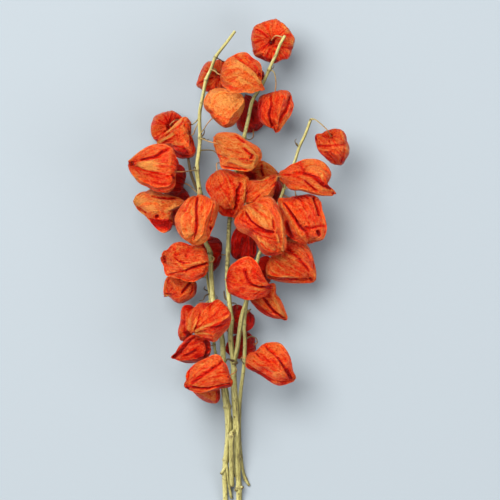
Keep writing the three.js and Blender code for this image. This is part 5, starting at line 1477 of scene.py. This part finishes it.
def stem_material():
    """Dry straw stems, turning orange on the thin stalks that carry the husks."""
    nodes = Nodes("dry_stem")
    place = nodes.add("ShaderNodeTexCoord").outputs["Object"]
    grain, kind, scar = nodes.vector("grain"), nodes.value("kind"), nodes.value("scar")
    fibre = nodes.noise(nodes.scaled(grain, (4.5, 4.5, 1.0)), scale=2.4, detail=5, roughness=0.68)
    blot = nodes.noise(nodes.scaled(grain, (1.6, 1.6, 3.5)), scale=2.4, detail=3, roughness=0.6)
    ridge = nodes.noise(nodes.scaled(grain, (1.4, 1.4, 2.0)), scale=2.4, detail=3, roughness=0.7)
    patch = nodes.noise(place, scale=30, detail=3)
    # The side that faces the lamps is painted lighter: painted light.
    level = nodes.add_up(nodes.maths("MULTIPLY", patch, 0.30), [
        (fibre, 0.75, 0), (blot, 0.50, 0.665), (ridge, 0.70, 0), (nodes.value("painted_side_light"), 0.19, 0),
    ])
    colour = nodes.mix(kind, nodes.ramp(level, STRAW_COLOURS), nodes.ramp(level, STALK_COLOURS))
    # The spots break up brown rings, stretches and cut ends. A dry bit or the inside of
    # a hollow, where the scar is 1, is brown all over.
    spots = nodes.noise(place, scale=330, detail=3)
    speck = nodes.above(spots, 0.58, 8.0)
    solid = nodes.maths("MAXIMUM", nodes.above(spots, 0.37, 5.0), nodes.above(scar, 0.9, 10.0))
    brown = nodes.maths("MULTIPLY", nodes.maths("MULTIPLY", scar, solid), 0.95)
    dark = nodes.maths("MAXIMUM", nodes.maths("MULTIPLY", speck, 0.7), brown)
    nodes.link(nodes.mix(dark, colour, SCAR_BROWN), nodes.shader.inputs["Base Color"])
    nodes.link(nodes.maths("MULTIPLY_ADD", fibre, 0.2, 0.5), nodes.shader.inputs["Roughness"])
    nodes.shader.inputs["Specular IOR Level"].default_value = 0.35
    nodes.bump(nodes.maths("ADD", fibre, ridge), strength=0.9, distance=STEM_BUMP)
    return nodes.material


# ---------------------------------------------------------------- stage

FLOOR_HALF = 12.0  # m
FLOOR_COLOUR = (0.19, 0.218, 0.24, 1)
SKY_COLOUR, SKY_STRENGTH = (0.93, 0.93, 0.94, 1), 0.82


def add_camera():
    data = bpy.data.cameras.new("camera")
    data.sensor_width = SENSOR
    data.lens = SENSOR * CAMERA_DISTANCE / VIEW_WIDTH
    data.clip_start, data.clip_end = CLIP
    camera = bpy.data.objects.new("camera", data)
    x, y = VIEW_CENTRE + ORIGIN_SHIFT[:2]
    camera.location = (x * MM, y * MM, (CAMERA_DISTANCE + FOCUS_HEIGHT) * MM)
    bpy.context.scene.collection.objects.link(camera)
    bpy.context.scene.camera = camera


def add_light(name, place, size, power, colour):
    """A round soft light that faces the bunch, and isn't seen itself."""
    data = bpy.data.lights.new(name, "AREA")
    data.shape = "DISK"
    data.size, data.energy, data.color = size, power, colour
    light = bpy.data.objects.new(name, data)
    light.location = place
    direction = -np.array(place, float)
    light.rotation_euler = (
        math.atan2(math.hypot(direction[0], direction[1]), -direction[2]), 0,
        math.atan2(direction[0], -direction[1]) + math.pi,
    )
    light.visible_camera = False
    bpy.context.scene.collection.objects.link(light)


def add_stage():
    half = FLOOR_HALF
    mesh = bpy.data.meshes.new("floor")
    corners = [(-half, -half, 0), (half, -half, 0), (half, half, 0), (-half, half, 0)]
    mesh.from_pydata(corners, [], [(0, 1, 2, 3)])
    floor = bpy.data.objects.new("floor", mesh)
    bpy.context.scene.collection.objects.link(floor)
    nodes = Nodes("pale_floor")
    nodes.shader.inputs["Base Color"].default_value = FLOOR_COLOUR
    nodes.shader.inputs["Roughness"].default_value = 0.85
    mesh.materials.append(nodes.material)
    world = bpy.data.worlds.new("studio")
    world.use_nodes = True
    sky = world.node_tree.nodes["Background"]
    sky.inputs["Color"].default_value = SKY_COLOUR
    sky.inputs["Strength"].default_value = SKY_STRENGTH
    bpy.context.scene.world = world
    bpy.context.scene.view_settings.view_transform = "Standard"
    add_light("key", place=(-1.15, 1.3, 3.8), size=2.8, power=425, colour=(1.0, 0.98, 0.95))
    add_light("fill", place=(2.4, -0.8, 2.8), size=2.4, power=70, colour=(0.98, 0.98, 1.0))


# ---------------------------------------------------------------- the bunch

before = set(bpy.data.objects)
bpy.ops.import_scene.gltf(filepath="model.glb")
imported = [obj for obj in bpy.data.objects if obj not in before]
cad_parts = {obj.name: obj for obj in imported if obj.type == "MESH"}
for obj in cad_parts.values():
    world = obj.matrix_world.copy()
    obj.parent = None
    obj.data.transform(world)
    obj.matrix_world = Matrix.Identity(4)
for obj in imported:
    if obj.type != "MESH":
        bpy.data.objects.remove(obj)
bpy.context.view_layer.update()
add_camera()
materials = {"husk": husk_material(), "stem": stem_material()}
mouths = [make_husk(number, husk_row, materials) for number, husk_row in enumerate(HUSKS)]
for number, (stem_name, stem_row) in enumerate(STEMS.items()):
    make_stem(stem_name, stem_row, mouths, materials, STEM_SEED + STEM_SEED_STEP * number)
add_stage()
